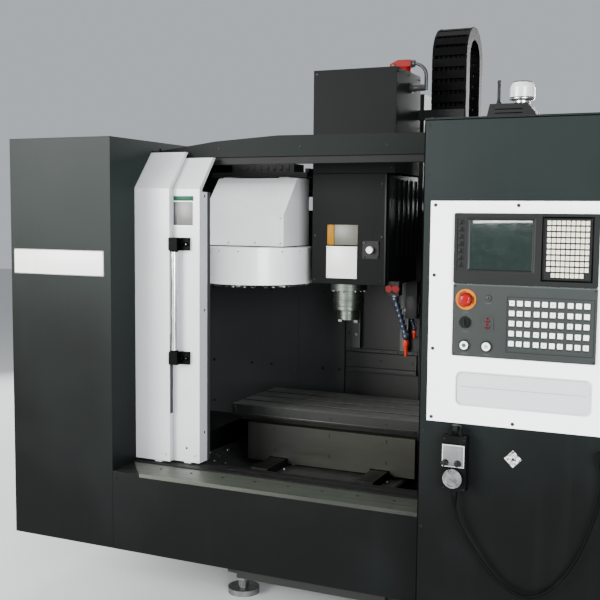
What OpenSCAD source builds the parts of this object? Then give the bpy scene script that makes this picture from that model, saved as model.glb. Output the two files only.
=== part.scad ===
// Vertical machining centre with a half-open guard, an umbrella tool magazine and a standing control cabinet.
// Millimetres. X to the operator's right, Y away from the operator, Z up; origin on the floor under the middle.

/* [Overall] */
// Width over both cabinets
body_w = 2244; // [2240:2:2400]
// Height of the lower edge of the sheet metal above the floor
skirt_z = 255; // [225:5:285]
// Roof height of the left cabinet
left_top = 1752; // [1750:2:1790]
// Roof height of the control cabinet
ctrl_top = 1761; // [1758:1:1800]
// Depth of the control cabinet
ctrl_d = 420; // [380:5:424]

/* [Table] */
// Length of the table
table_l = 850; // [760:10:900]
// Depth of the table
table_w = 400; // [360:5:400]
// Number of T-slots
slot_n = 3; // [3:2:5]
// Width of a T-slot's mouth
slot_w = 18; // [14:1:18]
// Spacing of the T-slots
slot_pitch = 100; // [60:5:100]

/* [Tool magazine] */
// Radius of the drum cover
drum_r = 225; // [215:1:228]
// Height of the drum cover
drum_h = 145; // [130:5:150]
// Number of tool pockets
tool_n = 12; // [8:1:14]
// Radius of the circle of tool centres
tool_r = 182; // [176:1:184]

/* [Doors] */
// Length of the handle tube
handle_l = 420; // [300:5:430]
// Radius of the handle tube
handle_r = 13; // [8:0.5:13.5]

/* [Control panel] */
// Side of a white square key
key_s = 15; // [12:0.5:17]
// Rows of square keys
key_rows = 5; // [4:1:5]
// Radius of the emergency stop's head
estop_r = 19; // [16:0.5:20]
// Radius of the hand wheel on the pendant
wheel_r = 28; // [24:0.5:30]

/* [Energy chain] */
// Inside width of the energy chain's links
chain_w = 120; // [90:5:130]
// Pitch of the links
chain_p = 46; // [40:1:56]

/* [Hidden] */
$fn = 48;
xl = -body_w / 2;
xr = body_w / 2;
// opening between the cabinets
ol = -672;
or = 528;
// front planes of the left cabinet with the apron, and of the control cabinet
yf = -830;
yc = -980;
yl_back = 420;
sheet = 3;
sill_z = 548;
// machine axis, spindle axis
mx = -25;
sx = -25;
sy = -145;
table_z = 725;
table_y = -125;
col_y = 262;
col_l = -195;
col_r = 145;
mag_x = -433;
mag_y = -145;
drum_top = 1350;
head_l = -153;
head_r = 147;
head_f = -220;
head_z0 = 1213;
head_z1 = 2035;
door_z0 = 558;
panel_y = yc - sheet;
white_l = 552;
white_r = 1098;
white_z0 = 882;
white_z1 = 1524;
panel_mx = (white_l + white_r) / 2;
recess_w = white_r - white_l - 164;
gland_x = xr - 62;
rail_y = -694;
valve_z = 1203;
selector_z = 774;
chain_r = 130;

// colours
c_dark = [0.17, 0.20, 0.20];
c_white = [0.86, 0.87, 0.86];
c_steel = [0.62, 0.66, 0.62];
c_cast = [0.52, 0.57, 0.52];
c_black = [0.07, 0.07, 0.08];
c_grey = [0.45, 0.46, 0.48];
c_red = [0.72, 0.10, 0.08];
c_yellow = [0.88, 0.72, 0.15];
c_orange = [0.90, 0.30, 0.10];

function frac(i, n) = i / n;

module bx(x0, x1, y0, y1, z0, z1) {
  translate([x0, y0, z0])
    cube([x1 - x0, y1 - y0, z1 - z0]);
}

// outline in Y and Z, run along X
module along_x(x0, x1, pts) {
  translate([x0, 0, 0])
    rotate([90, 0, 90])
      linear_extrude(height = x1 - x0)
        polygon(pts);
}

// outline in X and Z, run along Y
module along_y(y0, y1, pts) {
  translate([0, y1, 0])
    rotate([90, 0, 0])
      linear_extrude(height = y1 - y0)
        polygon(pts);
}

// round bar pointing along Y
module cyl_y(x, y0, y1, z, r) {
  translate([x, y1, z])
    rotate([90, 0, 0])
      cylinder(r = r, h = y1 - y0);
}

// flat outline with round corners
module rounded(w, h, r) {
  square([w - 2 * r, h], center = true);
  square([w, h - 2 * r], center = true);
  for (a = [-1, 1], b = [-1, 1]) {
    translate([a * (w / 2 - r), b * (h / 2 - r)])
      circle(r = r);
  }
}

// upright plate with round corners whose front looks toward the operator
module plate_y(x0, x1, y0, y1, z0, z1, r) {
  translate([(x0 + x1) / 2, y1, (z0 + z1) / 2])
    rotate([90, 0, 0])
      linear_extrude(height = y1 - y0)
        rounded(x1 - x0, z1 - z0, r);
}

module base_casting() {
  color(c_cast) {
    difference() {
      union() {
        bx(mx - 300, mx + 300, -520, 240, 92, 500);
        bx(mx - 360, mx + 360, 240, 800, 92, 500);
        bx(mx - 360, mx + 360, -480, 240, 92, 170);
      }
      for (a = [-1, 1]) {
        bx(mx + a * 190 - 60, mx + a * 190 + 60, -530, -470, 220, 420);
        bx(mx + a * 200 - 90, mx + a * 200 + 90, 740, 810, 200, 420);
      }
    }
    for (a = [-1, 1]) {
      bx(mx + a * 210 - 35, mx + a * 210 + 35, -510, 240, 500, 530);
    }
    // arms that carry the two cabinets
    for (y = [-380, 170]) {
      bx(ol, mx - 300, y, y + 70, 290, 370);
      bx(mx + 300, or, y, y + 70, 290, 370);
    }
  }
}

module levelling_feet() {
  color(c_grey)
    for (a = [-1, 1], y = [-420, 180, 740]) {
      translate([mx + a * 320, y, 0]) {
        cylinder(r = 62, h = 22);
        translate([0, 0, 22])
          cylinder(r = 18, h = 70);
        translate([0, 0, 52])
          cylinder(r = 30, h = 18, $fn = 6);
      }
    }
}

module column() {
  color(c_cast)
    difference() {
      union() {
        bx(col_l, col_r, col_y, 740, 500, 1990);
        along_x(mx - 300, mx + 300, [[col_y + 6, 500], [col_y + 6, 640], [col_y + 60, 780],
          [700, 780], [740, 640], [740, 500]]);
      }
      bx(mx - 90, mx + 90, 600, 750, 900, 1800);
    }
  // stepped plates over the foot of the way, below the head
  color(c_cast)
    along_x(col_l + 8, col_r - 8, [[col_y, 792], [col_y - 15, 792], [col_y - 15, 812], [col_y - 10, 816],
      [col_y - 10, 878], [col_y - 5, 882], [col_y - 5, 896], [col_y, 896]]);
  color(c_black)
    bx(col_r, 372, 60.3 + 2 * chain_r, 68 + 2 * chain_r, 1540, 1600);
}

module column_rails() {
  color(c_steel)
    for (a = [-1, 1]) {
      difference() {
        bx(mx + a * 110 - 18, mx + a * 110 + 18, col_y - 30, col_y, 900, 1980);
        for (z = [960:120:1920]) {
          cyl_y(mx + a * 110, col_y - 31, col_y - 20, z, 7);
        }
      }
    }
}

module saddle() {
  color(c_cast)
    difference() {
      union() {
        bx(mx - 350, mx + 350, -316, 60, 562, 640);
        bx(mx - 262, mx + 262, -316, 60, 530.3, 562);
        for (y = [-250, -30]) {
          bx(mx - 350, mx + 350, y - 26, y + 26, 640, 654);
        }
      }
      bx(mx - 150, mx + 150, -330, 70, 520, 548);
    }
}

module saddle_cover() {
  color(c_steel) {
    difference() {
      along_x(mx - 345, mx + 345, [[-340, 512], [-340, 660], [-316, 664], [-316, 658], [-334, 655], [-334, 512]]);
      for (a = [-1, 1]) {
        bx(mx + a * 210 - 40, mx + a * 210 + 40, -345, -330, 511, 532);
      }
    }
    for (x = [mx - 345, mx - 118, mx + 112, mx + 339]) {
      bx(x, x + 6, -334, -316, 532, 655);
    }
    for (x = [mx - 230, mx, mx + 230], z = [560, 640]) {
      cyl_y(x, -343, -340, z, 6);
    }
  }
}

module table() {
  color(c_steel) {
    difference() {
      bx(mx - table_l / 2, mx + table_l / 2, table_y - table_w / 2, table_y + table_w / 2, 680, table_z);
      for (i = [0:1:slot_n - 1]) {
        translate([0, table_y + (i - (slot_n - 1) / 2) * slot_pitch, 0]) {
          bx(mx - table_l / 2 - 1, mx + table_l / 2 + 1, -slot_w / 2, slot_w / 2, 703, table_z + 1);
          bx(mx - table_l / 2 - 1, mx + table_l / 2 + 1, -slot_w * 0.85, slot_w * 0.85, 698, 711);
        }
      }
      bx(mx - table_l / 2 + 12, mx + table_l / 2 - 12, table_y - table_w / 2 + 8, table_y - table_w / 2 + 18,
        717, table_z + 1);
    }
    for (y = [-250, -30]) {
      bx(mx - table_l / 2 + 20, mx + table_l / 2 - 20, y - 26, y + 26, 654.3, 680);
    }
  }
}

module left_cabinet() {
  zt = left_top;
  color(c_dark) {
    difference() {
      bx(xl, ol, yf, yl_back, skirt_z, zt);
      bx(xl + sheet, ol - sheet, yf + sheet, yl_back - sheet, skirt_z - 1, zt - sheet);
      // the doors and the magazine come in here
      along_x(ol - 4, ol + 1, [[-676, 545], [-676, 1574.2], [(zt - 1610.2) * 0.8406 - 676, zt - 36],
        [yl_back - 30, zt - 36], [yl_back - 30, 545]]);
      // louvres low on the outer side
      for (i = [0:1:7]) {
        bx(xl - 1, xl + 4, -80, 160, 420 + i * 26, 430 + i * 26);
      }
    }
    // stiffening rails inside
    bx(xl + sheet, xl + 33, yf + sheet, yf + 33, skirt_z, zt - sheet);
    bx(xl + sheet, xl + 33, yl_back - 33, yl_back - sheet, skirt_z, zt - sheet);
    // post that holds the beam's end
    bx(ol - 60, ol, -482, -442, 760, zt - 3);
  }
}

module nameplate() {
  color(c_white)
    plate_y(-1106, -702, yf - 2, yf, 1253, 1345, 4);
}

module apron() {
  color(c_dark) {
    difference() {
      union() {
        bx(ol, or, yf, yf + sheet, skirt_z, 545);
        bx(ol, or, yf + sheet, -604, 542, 545);
        bx(ol, or, yf + sheet, yf + 40, skirt_z, skirt_z + sheet);
      }
    }
    for (x = [ol + 60, -240, 130, or - 66]) {
      bx(x, x + 6, yf + sheet, -640, 500, 542);
    }
  }
}

// bright threshold plate, mitred at the left end
module sill_plate() {
  color(c_steel)
    translate([0, 0, 545])
      linear_extrude(height = 3)
        polygon([[ol, rail_y], [-556, yf - 2], [or, yf - 2], [or, rail_y]]);
  color(c_steel)
    bx(-556, or, yf - 2, yf, 535, 545);
}

module chip_tray() {
  color(c_dark) {
    difference() {
      along_x(ol, or, [[-604, 545], [-604, 542], [-547, 470], [col_y - 4, 440], [col_y - 4, 443], [-545, 473],
        [-601, 545]]);
      bx(mx - 303, mx + 303, -523, col_y, 400, 500);
      bx(mx - 363, mx + 363, 237, col_y, 400, 500);
    }
    for (a = [-1, 1]) {
      bx(mx + a * 303 - 1.5, mx + a * 303 + 1.5, -523, 236, 440, 498);
    }
    // upstand at the back
    bx(ol, or, col_y - 4, col_y - 1, 500, 548);
    bx(ol, mx - 363, col_y - 4, col_y - 1, 440, 500);
    bx(mx + 363, or, col_y - 4, col_y - 1, 440, 500);
  }
}

module back_guard() {
  y0 = col_y - 4;
  color(c_dark) {
    bx(xl + sheet, -440, y0, y0 + 3, 548, 1500);
    bx(-436, col_l - 3, y0, y0 + 3, 548, 1500);
    bx(-452, -424, y0 - 4, y0, 548, 1500);
    bx(xl + sheet, col_l - 3, y0 + 3, y0 + 24, 1497, 1500);
    bx(col_r + 3, xr - sheet, y0, y0 + 3, 548, 1500);
    bx(col_r + 3, xr - sheet, y0 + 3, y0 + 24, 1497, 1500);
    bx(col_r + 3, col_r + 6, y0 + 3, y0 + 24, 785, 1497);
    bx(col_l - 6, col_l - 3, y0 + 3, y0 + 24, 785, 1497);
  }
  color(c_steel)
    for (x = [-660, -560, -300, -222], z = [795, 1140]) {
      cyl_y(x, y0 - 3, y0, z, 6);
    }
}

module right_guard() {
  color(c_dark) {
    difference() {
      bx(or, xr, yc + ctrl_d, yl_back, skirt_z, 1690);
      bx(or - 1, xr - 3, yc + ctrl_d - 1, yl_back - 3, 545, 1700);
      bx(or + 3, xr - 3, yc + ctrl_d + 3, yl_back - 3, skirt_z - 1, 542);
    }
    // post that carries the beam's right end
    bx(or, or + 60, yc + ctrl_d, -466, 760, 1760);
  }
}

module top_beam() {
  color(c_dark) {
    along_y(-526, -466, [[ol, 1690], [or, 1690], [or, 1760], [-160, 1765], [-415, 1749], [ol, 1716]]);
  }
}

// lower rail under both doors and the guide channel under the beam
module door_tracks() {
  color(c_grey) {
    difference() {
      bx(ol - 440, or - 3, -667.5, -606, 548, 552);
      bx(ol - 441, or - 2, -648.5, -645.5, 550, 553);
    }
    bx(ol - 440, ol, -667.5, -606, 545, 548);
    bx(ol, or - 3, -667.5, -604, 545, 548);
    bx(ol, or - 3, rail_y, -666, 545, 552);
    difference() {
      bx(ol - 400, or - 3, -512, -482, 1664, 1690);
      bx(ol - 401, or - 2, -508, -486, 1660, 1686);
    }
  }
}

// upright leaf with a canted top and folded edges
module leaf(x0, x1, y0, y1, zf, zt, ret) {
  t = 4;
  along_x(x0, x1, [[y0, door_z0], [y0, zf], [y1, zt], [y1 + t, zt], [y0 + t, zf], [y0 + t, door_z0]]);
  for (x = [x0, x1 - 4]) {
    along_x(x, x + 4, [[y0, door_z0], [y0, zf], [y1, zt], [y1 + ret, zt], [y0 + ret, zf], [y0 + ret, door_z0]]);
  }
  along_x(x0, x1, [[y0, door_z0], [y0 + ret, door_z0], [y0 + ret, door_z0 + 4], [y0, door_z0 + 4]]);
}

module door_rear_leaf() {
  color(c_white) {
    leaf(-1105, -527, -670, -554, 1572, 1710, 20);
    for (x = [-1060, -580]) {
      bx(x - 14, x + 14, -666, -652, 552.3, door_z0);
    }
  }
}

module door_front_leaf() {
  color(c_white) {
    difference() {
      union() {
        leaf(-1040, -415, -644, -545, 1570, 1688, 20);
        bx(-419, -415, -624, -588, door_z0, 1560);
        bx(-455, -419, -591, -588, door_z0, 1560);
      }
      for (z = [668, 1126, 1545]) {
        translate([-420, -606, z])
          rotate([0, 90, 0])
            cylinder(r = 6, h = 6);
      }
    }
    for (x = [-1000, -470]) {
      bx(x - 14, x + 14, -640, -626, 552.3, door_z0);
      along_x(x - 14, x + 14, [[-598, 1620], [-596, 1626], [-550, 1658], [-487, 1658], [-487, 1654], [-549, 1654]]);
      translate([x, -497, 1658]) {
        cylinder(r = 3, h = 10);
        translate([0, 0, 9])
          cylinder(r = 9.5, h = 14);
      }
    }
  }
}

module door_handle() {
  zc = 1160;
  hx = -508;
  for (a = [-1, 1]) {
    color(c_black)
      difference() {
        bx(hx - 15, hx + 54, -683, -644, zc + a * handle_l / 2 - 23, zc + a * handle_l / 2 + 23);
        bx(hx + 20, hx + 55, -684, -656, zc + a * handle_l / 2 - 24, zc + a * handle_l / 2 + 24);
      }
    color(c_black)
      for (x = [hx + 28, hx + 42]) {
        cyl_y(x, -660, -656, zc + a * handle_l / 2, 4.5);
      }
  }
  color(c_steel)
    translate([hx, -668, zc - handle_l / 2 + 23])
      cylinder(r = handle_r, h = handle_l - 46);
}

module door_plate() {
  color(c_white)
    plate_y(-524, -440, -645, -644, 1434, 1545, 3);
}

module door_seal() {
  color(c_black) {
    bx(-428, -415, -588, -576, door_z0, 1560);
    bx(-418, -413, -576, -568, door_z0, 1560);
  }
}

module magazine_arm() {
  color(c_black) {
    bx(-660, -222, -120, 250, 1634, 1652);
    bx(-560, -220, 250, 290, 1560, 1652);
    bx(-220, col_l, col_y, 420, 1540, 1652);
    for (x = [-600, -300]) {
      bx(x - 8, x + 8, 60, 250, 1580, 1634);
    }
  }
  color(c_black)
    bx(-220, col_l, 250, col_y, 1560, 1652);
  color(c_grey) {
    bx(-565, -280, -118, -20, 1652, 1686);
    bx(-520, -400, -20, 70, 1652, 1680);
  }
}

module magazine_housing() {
  color(c_white) {
    difference() {
      along_x(-640, -275, [[-228, 1354], [-228, 1479], [-95, 1630], [25, 1630], [25, 1354]]);
      along_x(-637, -278, [[-225, 1353], [-225, 1478], [-94, 1627], [22, 1627], [22, 1353]]);
    }
    for (x = [-600, -340]) {
      bx(x - 20, x + 20, -90, 20, 1630, 1633.7);
    }
  }
  color(c_black)
    bx(-640, -275, -228, 25, drum_top, 1354);
}

module magazine_cover() {
  zb = drum_top - drum_h;
  color(c_white)
    translate([mag_x, mag_y, 0]) {
      difference() {
        translate([0, 0, zb])
          cylinder(r = drum_r, h = drum_h, $fn = 96);
        translate([0, 0, zb - 1])
          cylinder(r = drum_r - 3, h = drum_h - 2, $fn = 96);
      }
      difference() {
        translate([0, 0, zb])
          cylinder(r = drum_r + 4, h = 6, $fn = 96);
        translate([0, 0, zb - 1])
          cylinder(r = drum_r - 1, h = 8, $fn = 96);
      }
    }
}

// one pair of gripper fingers, pointing outward, hooked at the tips
module pocket() {
  for (a = [-1, 1]) {
    scale([1, a, 1])
      linear_extrude(height = 22)
        polygon([[tool_r - 44, 14], [tool_r - 10, 22], [tool_r + 20, 24], [tool_r + 30, 16],
          [tool_r + 36, 20], [tool_r + 28, 34], [tool_r - 14, 34], [tool_r - 44, 26]]);
  }
}

module tool_disc() {
  zb = drum_top - drum_h;
  color(c_grey)
    translate([mag_x, mag_y, 0]) {
      difference() {
        translate([0, 0, zb + 12])
          cylinder(r = 176, h = 12);
        for (i = [0:1:tool_n - 1]) {
          rotate([0, 0, 360 * frac(i, tool_n)])
            translate([tool_r, 0, zb + 11])
              cylinder(r = 13, h = 14);
        }
      }
      translate([0, 0, zb + 24])
        cylinder(r = 34, h = drum_h - 27.3);
    }
}

module tool_grippers() {
  zb = drum_top - drum_h;
  color(c_black)
    translate([mag_x, mag_y, 0])
      for (i = [0:1:tool_n - 1]) {
        rotate([0, 0, 360 * frac(i, tool_n)])
          translate([0, 0, zb - 10])
            pocket();
      }
}

module head_casting() {
  color(c_cast) {
    bx(head_l + 3, head_r - 3, head_f + 3, 40, head_z0 + 3, 1637);
    bx(mx - 125, mx + 125, 40, 190, 1240, 1637);
    for (a = [-1, 1], z = [1270, 1520]) {
      bx(mx + a * 110 - 34, mx + a * 110 + 34, 190, col_y - 30.3, z, z + 90);
    }
  }
}

// folded sheet housing, wider above than below
module head_cover() {
  color(c_dark) {
    difference() {
      bx(head_l, head_r, head_f, -40, head_z0, 1640);
      bx(head_l + 3, head_r - 3, head_f + 3, -39, head_z0 - 1, 1641);
      cyl_y(93, head_f - 1, head_f + 4, 1349, 12.4);
    }
    bx(head_r, head_r + 6, head_f - 4, head_f + 12, head_z0, 1640);
    difference() {
      bx(head_l, 184, head_f, 80, 1640, head_z1);
      bx(head_l + 3, 181, head_f + 3, 77, 1639, head_z1 - 3);
    }
  }
}

// ribbed guard down the right side of the head
module head_side_guard() {
  color(c_black) {
    bx(head_r, head_r + 12, head_f + 14, 150, head_z0, 1637);
    for (y = [-120, -60, 0, 60, 120]) {
      bx(head_r + 12, head_r + 18, y, y + 12, 1320, 1620);
    }
    bx(184, 372, 54, 60, 1860, 1900);
  }
}

module head_plates() {
  color(c_yellow)
    plate_y(-88, -60, head_f - 1.5, head_f, 1366, 1443, 2);
  color(c_white) {
    plate_y(-58, 38, head_f - 1.5, head_f, 1366, 1443, 2);
    plate_y(-91, 36, head_f - 1.5, head_f, 1236, 1360, 2);
  }
  // square base of the tool release button
  color(c_dark)
    difference() {
      plate_y(59, 125, head_f - 4, head_f, 1315, 1383, 3);
      cyl_y(93, head_f - 5, head_f + 1, 1349, 12.4);
    }
  color(c_steel)
    for (a = [-1, 1], b = [-1, 1]) {
      cyl_y(92 + a * 26, head_f - 7, head_f - 4, 1349 + b * 27, 4.5);
    }
}

module clamp_button() {
  color(c_white) {
    cyl_y(93, head_f - 22, head_f - 8, 1349, 13);
    cyl_y(93, head_f - 8, head_f - 0.5, 1349, 12);
  }
}

module spindle_housing() {
  color(c_steel)
    translate([sx, sy, 0])
      difference() {
        union() {
          translate([0, 0, 1186])
            cylinder(r = 72, h = 30);
          translate([0, 0, 1112])
            cylinder(r = 60, h = 74);
          for (i = [0:1:7]) {
            rotate([0, 0, i * 45 + 22.5])
              translate([65, 0, 1182])
                cylinder(r = 4, h = 4);
          }
        }
        translate([0, 0, 1100])
          cylinder(r = 40.5, h = 100);
      }
}

module spindle() {
  color(c_steel)
    translate([sx, sy, 0])
      difference() {
        union() {
          translate([0, 0, 1070])
            cylinder(r = 44, h = 41);
          translate([0, 0, 1111])
            cylinder(r = 40, h = 88);
          for (a = [-1, 1]) {
            translate([a * 33 - 8, -8, 1058])
              cube([16, 16, 12]);
          }
        }
        translate([0, 0, 1057])
          cylinder(r1 = 22.3, r2 = 13, h = 66);
        translate([0, 0, 1120])
          cylinder(r = 9, h = 60);
      }
}

module coolant_block() {
  color(c_grey) {
    difference() {
      bx(head_r + 12, head_r + 56, -206, -166, 1176, 1230);
      cyl_y(head_r + 36, -207, -196, valve_z, 8);
    }
    bx(head_r + 3, head_r + 50, 44, 84, 1063, head_z0);
    bx(head_r + 50, head_r + 56, 52, 76, 1085, 1125);
  }
}

module coolant_valve() {
  color(c_red) {
    cyl_y(head_r + 36, -217, -206.4, valve_z, 13);
    bx(head_r + 22, head_r + 50, -225, -217, valve_z - 8, valve_z + 8);
    cyl_y(head_r + 22, -227, -216, valve_z, 13.5);
    cyl_y(head_r + 50, -227, -216, valve_z, 13.5);
  }
}

// jointed hose turned as one profile, with a ball at each end
module seg_hose(p0, p1, n, r, ball) {
  d = p1 - p0;
  l = norm(d);
  pitch = l / n;
  top = [for (a = [0:15:150]) [ball * sin(a), -ball * cos(a)]];
  ribs = [for (i = [1:1:n - 2]) each [[r * 0.62, i * pitch], [r, i * pitch + 1], [r * 0.72, (i + 0.72) * pitch],
    [r * 0.62, (i + 0.74) * pitch]]];
  low = [for (a = [30:15:180]) [ball * sin(a), l - ball * cos(a)]];
  translate(p0)
    rotate([0, acos(d[2] / l), atan2(d[1], d[0])])
      rotate_extrude()
        polygon(concat([for (q = top) [max(q[0], 0), q[1]]], ribs, [for (q = low) [max(q[0], 0), q[1]]]));
}

module coolant_hoses() {
  color([0.10, 0.13, 0.22]) {
    seg_hose([head_r + 36, -186, 1161.8], [232, -196, 1022], 7, 12.5, 14);
    seg_hose([head_r + 26, 64, 1053.8], [184, 60, 1024], 3, 8, 9);
  }
  color(c_orange) {
    translate([232, -196, 944])
      cylinder(r1 = 6, r2 = 12, h = 63.8);
    translate([184, 60, 981])
      cylinder(r1 = 5, r2 = 9, h = 33.8);
  }
}

// plug on the head's roof with its cable bent down to the side
module motor_connector() {
  color(c_red) {
    translate([150, -50, head_z1])
      cylinder(r = 34, h = 20);
    along_y(-70, -30, [[104, head_z1 + 20], [196, head_z1 + 20], [196, head_z1 + 46], [134, head_z1 + 46],
      [104, head_z1 + 32]]);
  }
  color(c_black) {
    translate([196, -50, head_z1 - 17])
      rotate([90, 0, 0])
        rotate_extrude(angle = 90)
          translate([50, 0])
            circle(r = 7);
    translate([246, -50, head_z1 - 60])
      cylinder(r = 7, h = 43);
    translate([184, -50, head_z1 - 60])
      rotate([0, 90, 0])
        cylinder(r = 12, h = 62);
  }
}

// points on the chain's bend, one for each joint
function bend(r, n, zc) = [for (i = [0:1:n]) [60 + chain_r - r * cos(180 * i / n), zc + r * sin(180 * i / n)]];

function backward(p) = [for (i = [len(p) - 1:-1:0]) p[i]];

module energy_chain() {
  cx = 305;
  zc = 2105;
  n_near = floor((zc - 1820) / chain_p);
  n_far = floor((zc - 1500) / chain_p);
  n_arc = 9;
  yr = 60 + 2 * chain_r;
  hw = chain_w / 2;
  color(c_black) {
    // side plates, notched at each joint
    difference() {
      for (x = [cx - hw - 10, cx + hw]) {
        along_x(x, x + 10, concat([[60, zc - n_near * chain_p]], bend(chain_r, n_arc, zc),
          [[yr, zc - n_far * chain_p], [yr - 50, zc - n_far * chain_p]],
          backward(bend(chain_r - 50, n_arc, zc)), [[110, zc - n_near * chain_p]]));
      }
      for (i = [0:1:n_near - 1]) {
        bx(cx - 80, cx + 80, 59, 66, zc - i * chain_p - 1, zc - i * chain_p + 1);
      }
      for (i = [0:1:n_far - 1]) {
        bx(cx - 80, cx + 80, yr - 6, yr + 1, zc - i * chain_p - 1, zc - i * chain_p + 1);
      }
      for (i = [1:1:n_arc - 1]) {
        translate([cx - 80, 60 + chain_r, zc])
          rotate([-180 * i / n_arc, 0, 0])
            translate([0, -chain_r - 1, -1])
              cube([160, 7, 2]);
      }
    }
    // cross bars
    for (i = [0:1:n_near - 1], y = [60, 105]) {
      bx(cx - hw, cx + hw, y, y + 5, zc - (i + 0.5) * chain_p - 16, zc - (i + 0.5) * chain_p + 16);
    }
    for (i = [0:1:n_far - 1], y = [yr - 50, yr - 5]) {
      bx(cx - hw, cx + hw, y, y + 5, zc - (i + 0.5) * chain_p - 16, zc - (i + 0.5) * chain_p + 16);
    }
    for (i = [0:1:n_arc - 1]) {
      translate([cx - hw, 60 + chain_r, zc])
        rotate([-(i + 0.5) * 180 / n_arc, 0, 0]) {
          translate([0, 2.6 - chain_r, -16])
            cube([chain_w, 5, 32]);
          translate([0, 44.5 - chain_r, -9])
            cube([chain_w, 5, 18]);
        }
    }
  }
}

module control_cabinet() {
  yb = yc + ctrl_d;
  color(c_dark) {
    difference() {
      bx(or, xr, yc, yb, skirt_z, ctrl_top);
      bx(or + sheet, xr - sheet, yc + sheet, yb - sheet, skirt_z + sheet, ctrl_top - sheet);
      for (i = [0:1:9]) {
        bx(xr - 4, xr + 1, yc + 120, yc + 300, 420 + i * 26, 430 + i * 26);
      }
    }
    // diamond plate low on the front
    translate([808, yc, 793])
      rotate([90, 45, 0])
        linear_extrude(height = 2)
          square(38, center = true);
    // hook that the pendant hangs from
    bx(641, 655, yc - 38, yc, 866, 874);
    bx(641, 655, yc - 42, yc - 38, 866, 882);
  }
}

module white_panel() {
  color(c_white) {
    difference() {
      bx(white_l, white_r, panel_y, yc, white_z0, white_z1);
      translate([panel_mx + 2, panel_y - 1, 985])
        rotate([-90, 0, 0])
          linear_extrude(height = 3)
            rounded(recess_w, 101, 18);
    }
  }
  color([0.70, 0.71, 0.72])
    difference() {
      plate_y(panel_mx + 2 - recess_w / 2, panel_mx + 2 + recess_w / 2, panel_y - 2, panel_y + 2, 934.5, 1035.5, 18);
      plate_y(panel_mx + 6 - recess_w / 2, panel_mx - 2 + recess_w / 2, panel_y - 3, panel_y + 1, 938.5, 1031.5, 14);
    }
  color(c_steel)
    for (x = [white_l + 14, white_r - 12], z = [white_z1 - 12, 1310, 1096, white_z0 + 12]) {
      cyl_y(x, panel_y - 2, panel_y, z, 5);
    }
  color(c_steel)
    for (z = [white_z1 - 12, white_z0 + 12]) {
      cyl_y(panel_mx - 21, panel_y - 2, panel_y, z, 5);
    }
}

// the things on the white sheet follow its middle
module on_panel() {
  translate([panel_mx - 825, 0, 0])
    children();
}

module screen_unit() {
  on_panel() {
    color([0.12, 0.13, 0.13])
      difference() {
        plate_y(625, 1025, panel_y - 10, panel_y, 1290, 1490, 4);
        bx(666, 850, panel_y - 11, panel_y - 4, 1328, 1474);
        bx(876, 1006, panel_y - 11, panel_y - 7, 1308, 1477);
        bx(634, 656, panel_y - 11, panel_y - 8, 1328, 1474);
      }
  }
}

module screen_glass() {
  on_panel() {
    color([0.10, 0.14, 0.13])
      bx(667, 849, panel_y - 6, panel_y - 4, 1329, 1473);
  }
}

module keypad_keys() {
  on_panel() {
    color([0.78, 0.76, 0.68])
      for (i = [0:1:8], j = [0:1:9]) {
        x = 891 + i * 12.8;
        z = 1321 + j * 16;
        if (!(j == 0 && (i == 0 || i == 8))) {
          bx(x - 4.8, x + 4.8, panel_y - 10.5, panel_y - 7, z - 5.8, z + 5.8);
        }
      }
  }
}

module operator_panel() {
  on_panel() {
    color([0.15, 0.16, 0.17])
      difference() {
        plate_y(625, 1025, panel_y - 6, panel_y, 1080, 1288, 3);
        cyl_y(663, panel_y - 7, panel_y - 1, 1244, 8.6);
        cyl_y(662, panel_y - 7, panel_y - 1, 1178, 7.4);
        cyl_y(661, panel_y - 7, panel_y - 1, 1112, 9.4);
        cyl_y(725, panel_y - 7, panel_y - 1, 1112, 9.4);
        plate_y(783, 1016, panel_y - 7, panel_y - 5, 1102, 1254, 3);
      }
    color(c_steel)
      for (x = [661, 725]) {
        difference() {
          cyl_y(x, panel_y - 9, panel_y - 6, 1112, 17);
          cyl_y(x, panel_y - 10, panel_y - 5, 1112, 12.4);
        }
      }
    color(c_grey) {
      cyl_y(727, panel_y - 9, panel_y - 6, 1250, 9);
      plate_y(708, 744, panel_y - 8, panel_y - 6, 1160, 1196, 3);
    }
    color(c_red)
      for (z = [1169, 1187]) {
        cyl_y(726, panel_y - 13, panel_y - 8, z, 5.5);
      }
  }
}

module square_keys() {
  on_panel() {
    color([0.88, 0.88, 0.86])
      for (j = [0:1:key_rows - 1]) {
        for (i = [0:1:9]) {
          x = 794.5 + i * 22 + (i > 2 ? 3 : 0) + (i > 6 ? 3 : 0);
          z = 1239 - j * 28.5;
          bx(x - key_s / 2, x + key_s / 2, panel_y - 9, panel_y - 5, z - key_s / 2, z + key_s / 2);
        }
      }
  }
}

module estop_ring() {
  on_panel() {
    color(c_yellow)
      difference() {
        cyl_y(663, panel_y - 9, panel_y - 6, 1244, 30);
        cyl_y(663, panel_y - 10, panel_y - 5, 1244, 9);
      }
  }
}

module estop_button() {
  on_panel() {
    color(c_red) {
      translate([663, panel_y - 13, 1244])
        rotate([90, 0, 0])
          cylinder(r1 = estop_r - 2, r2 = estop_r, h = 8);
      translate([663, panel_y - 21, 1244])
        rotate([90, 0, 0])
          cylinder(r1 = estop_r, r2 = estop_r - 4, h = 5);
      cyl_y(663, panel_y - 13, panel_y - 5, 1244, 8);
    }
  }
}

module key_switch() {
  on_panel() {
    color(c_black) {
      cyl_y(662, panel_y - 14, panel_y - 6.4, 1178, 13);
      cyl_y(662, panel_y - 6.4, panel_y - 1.5, 1178, 7);
      bx(660, 664, panel_y - 24, panel_y - 14, 1168, 1188);
    }
  }
}

module push_button(x) {
  cyl_y(x, panel_y - 13, panel_y - 9.5, 1112, 12);
  cyl_y(x, panel_y - 9.5, panel_y - 5, 1112, 9);
}

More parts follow.
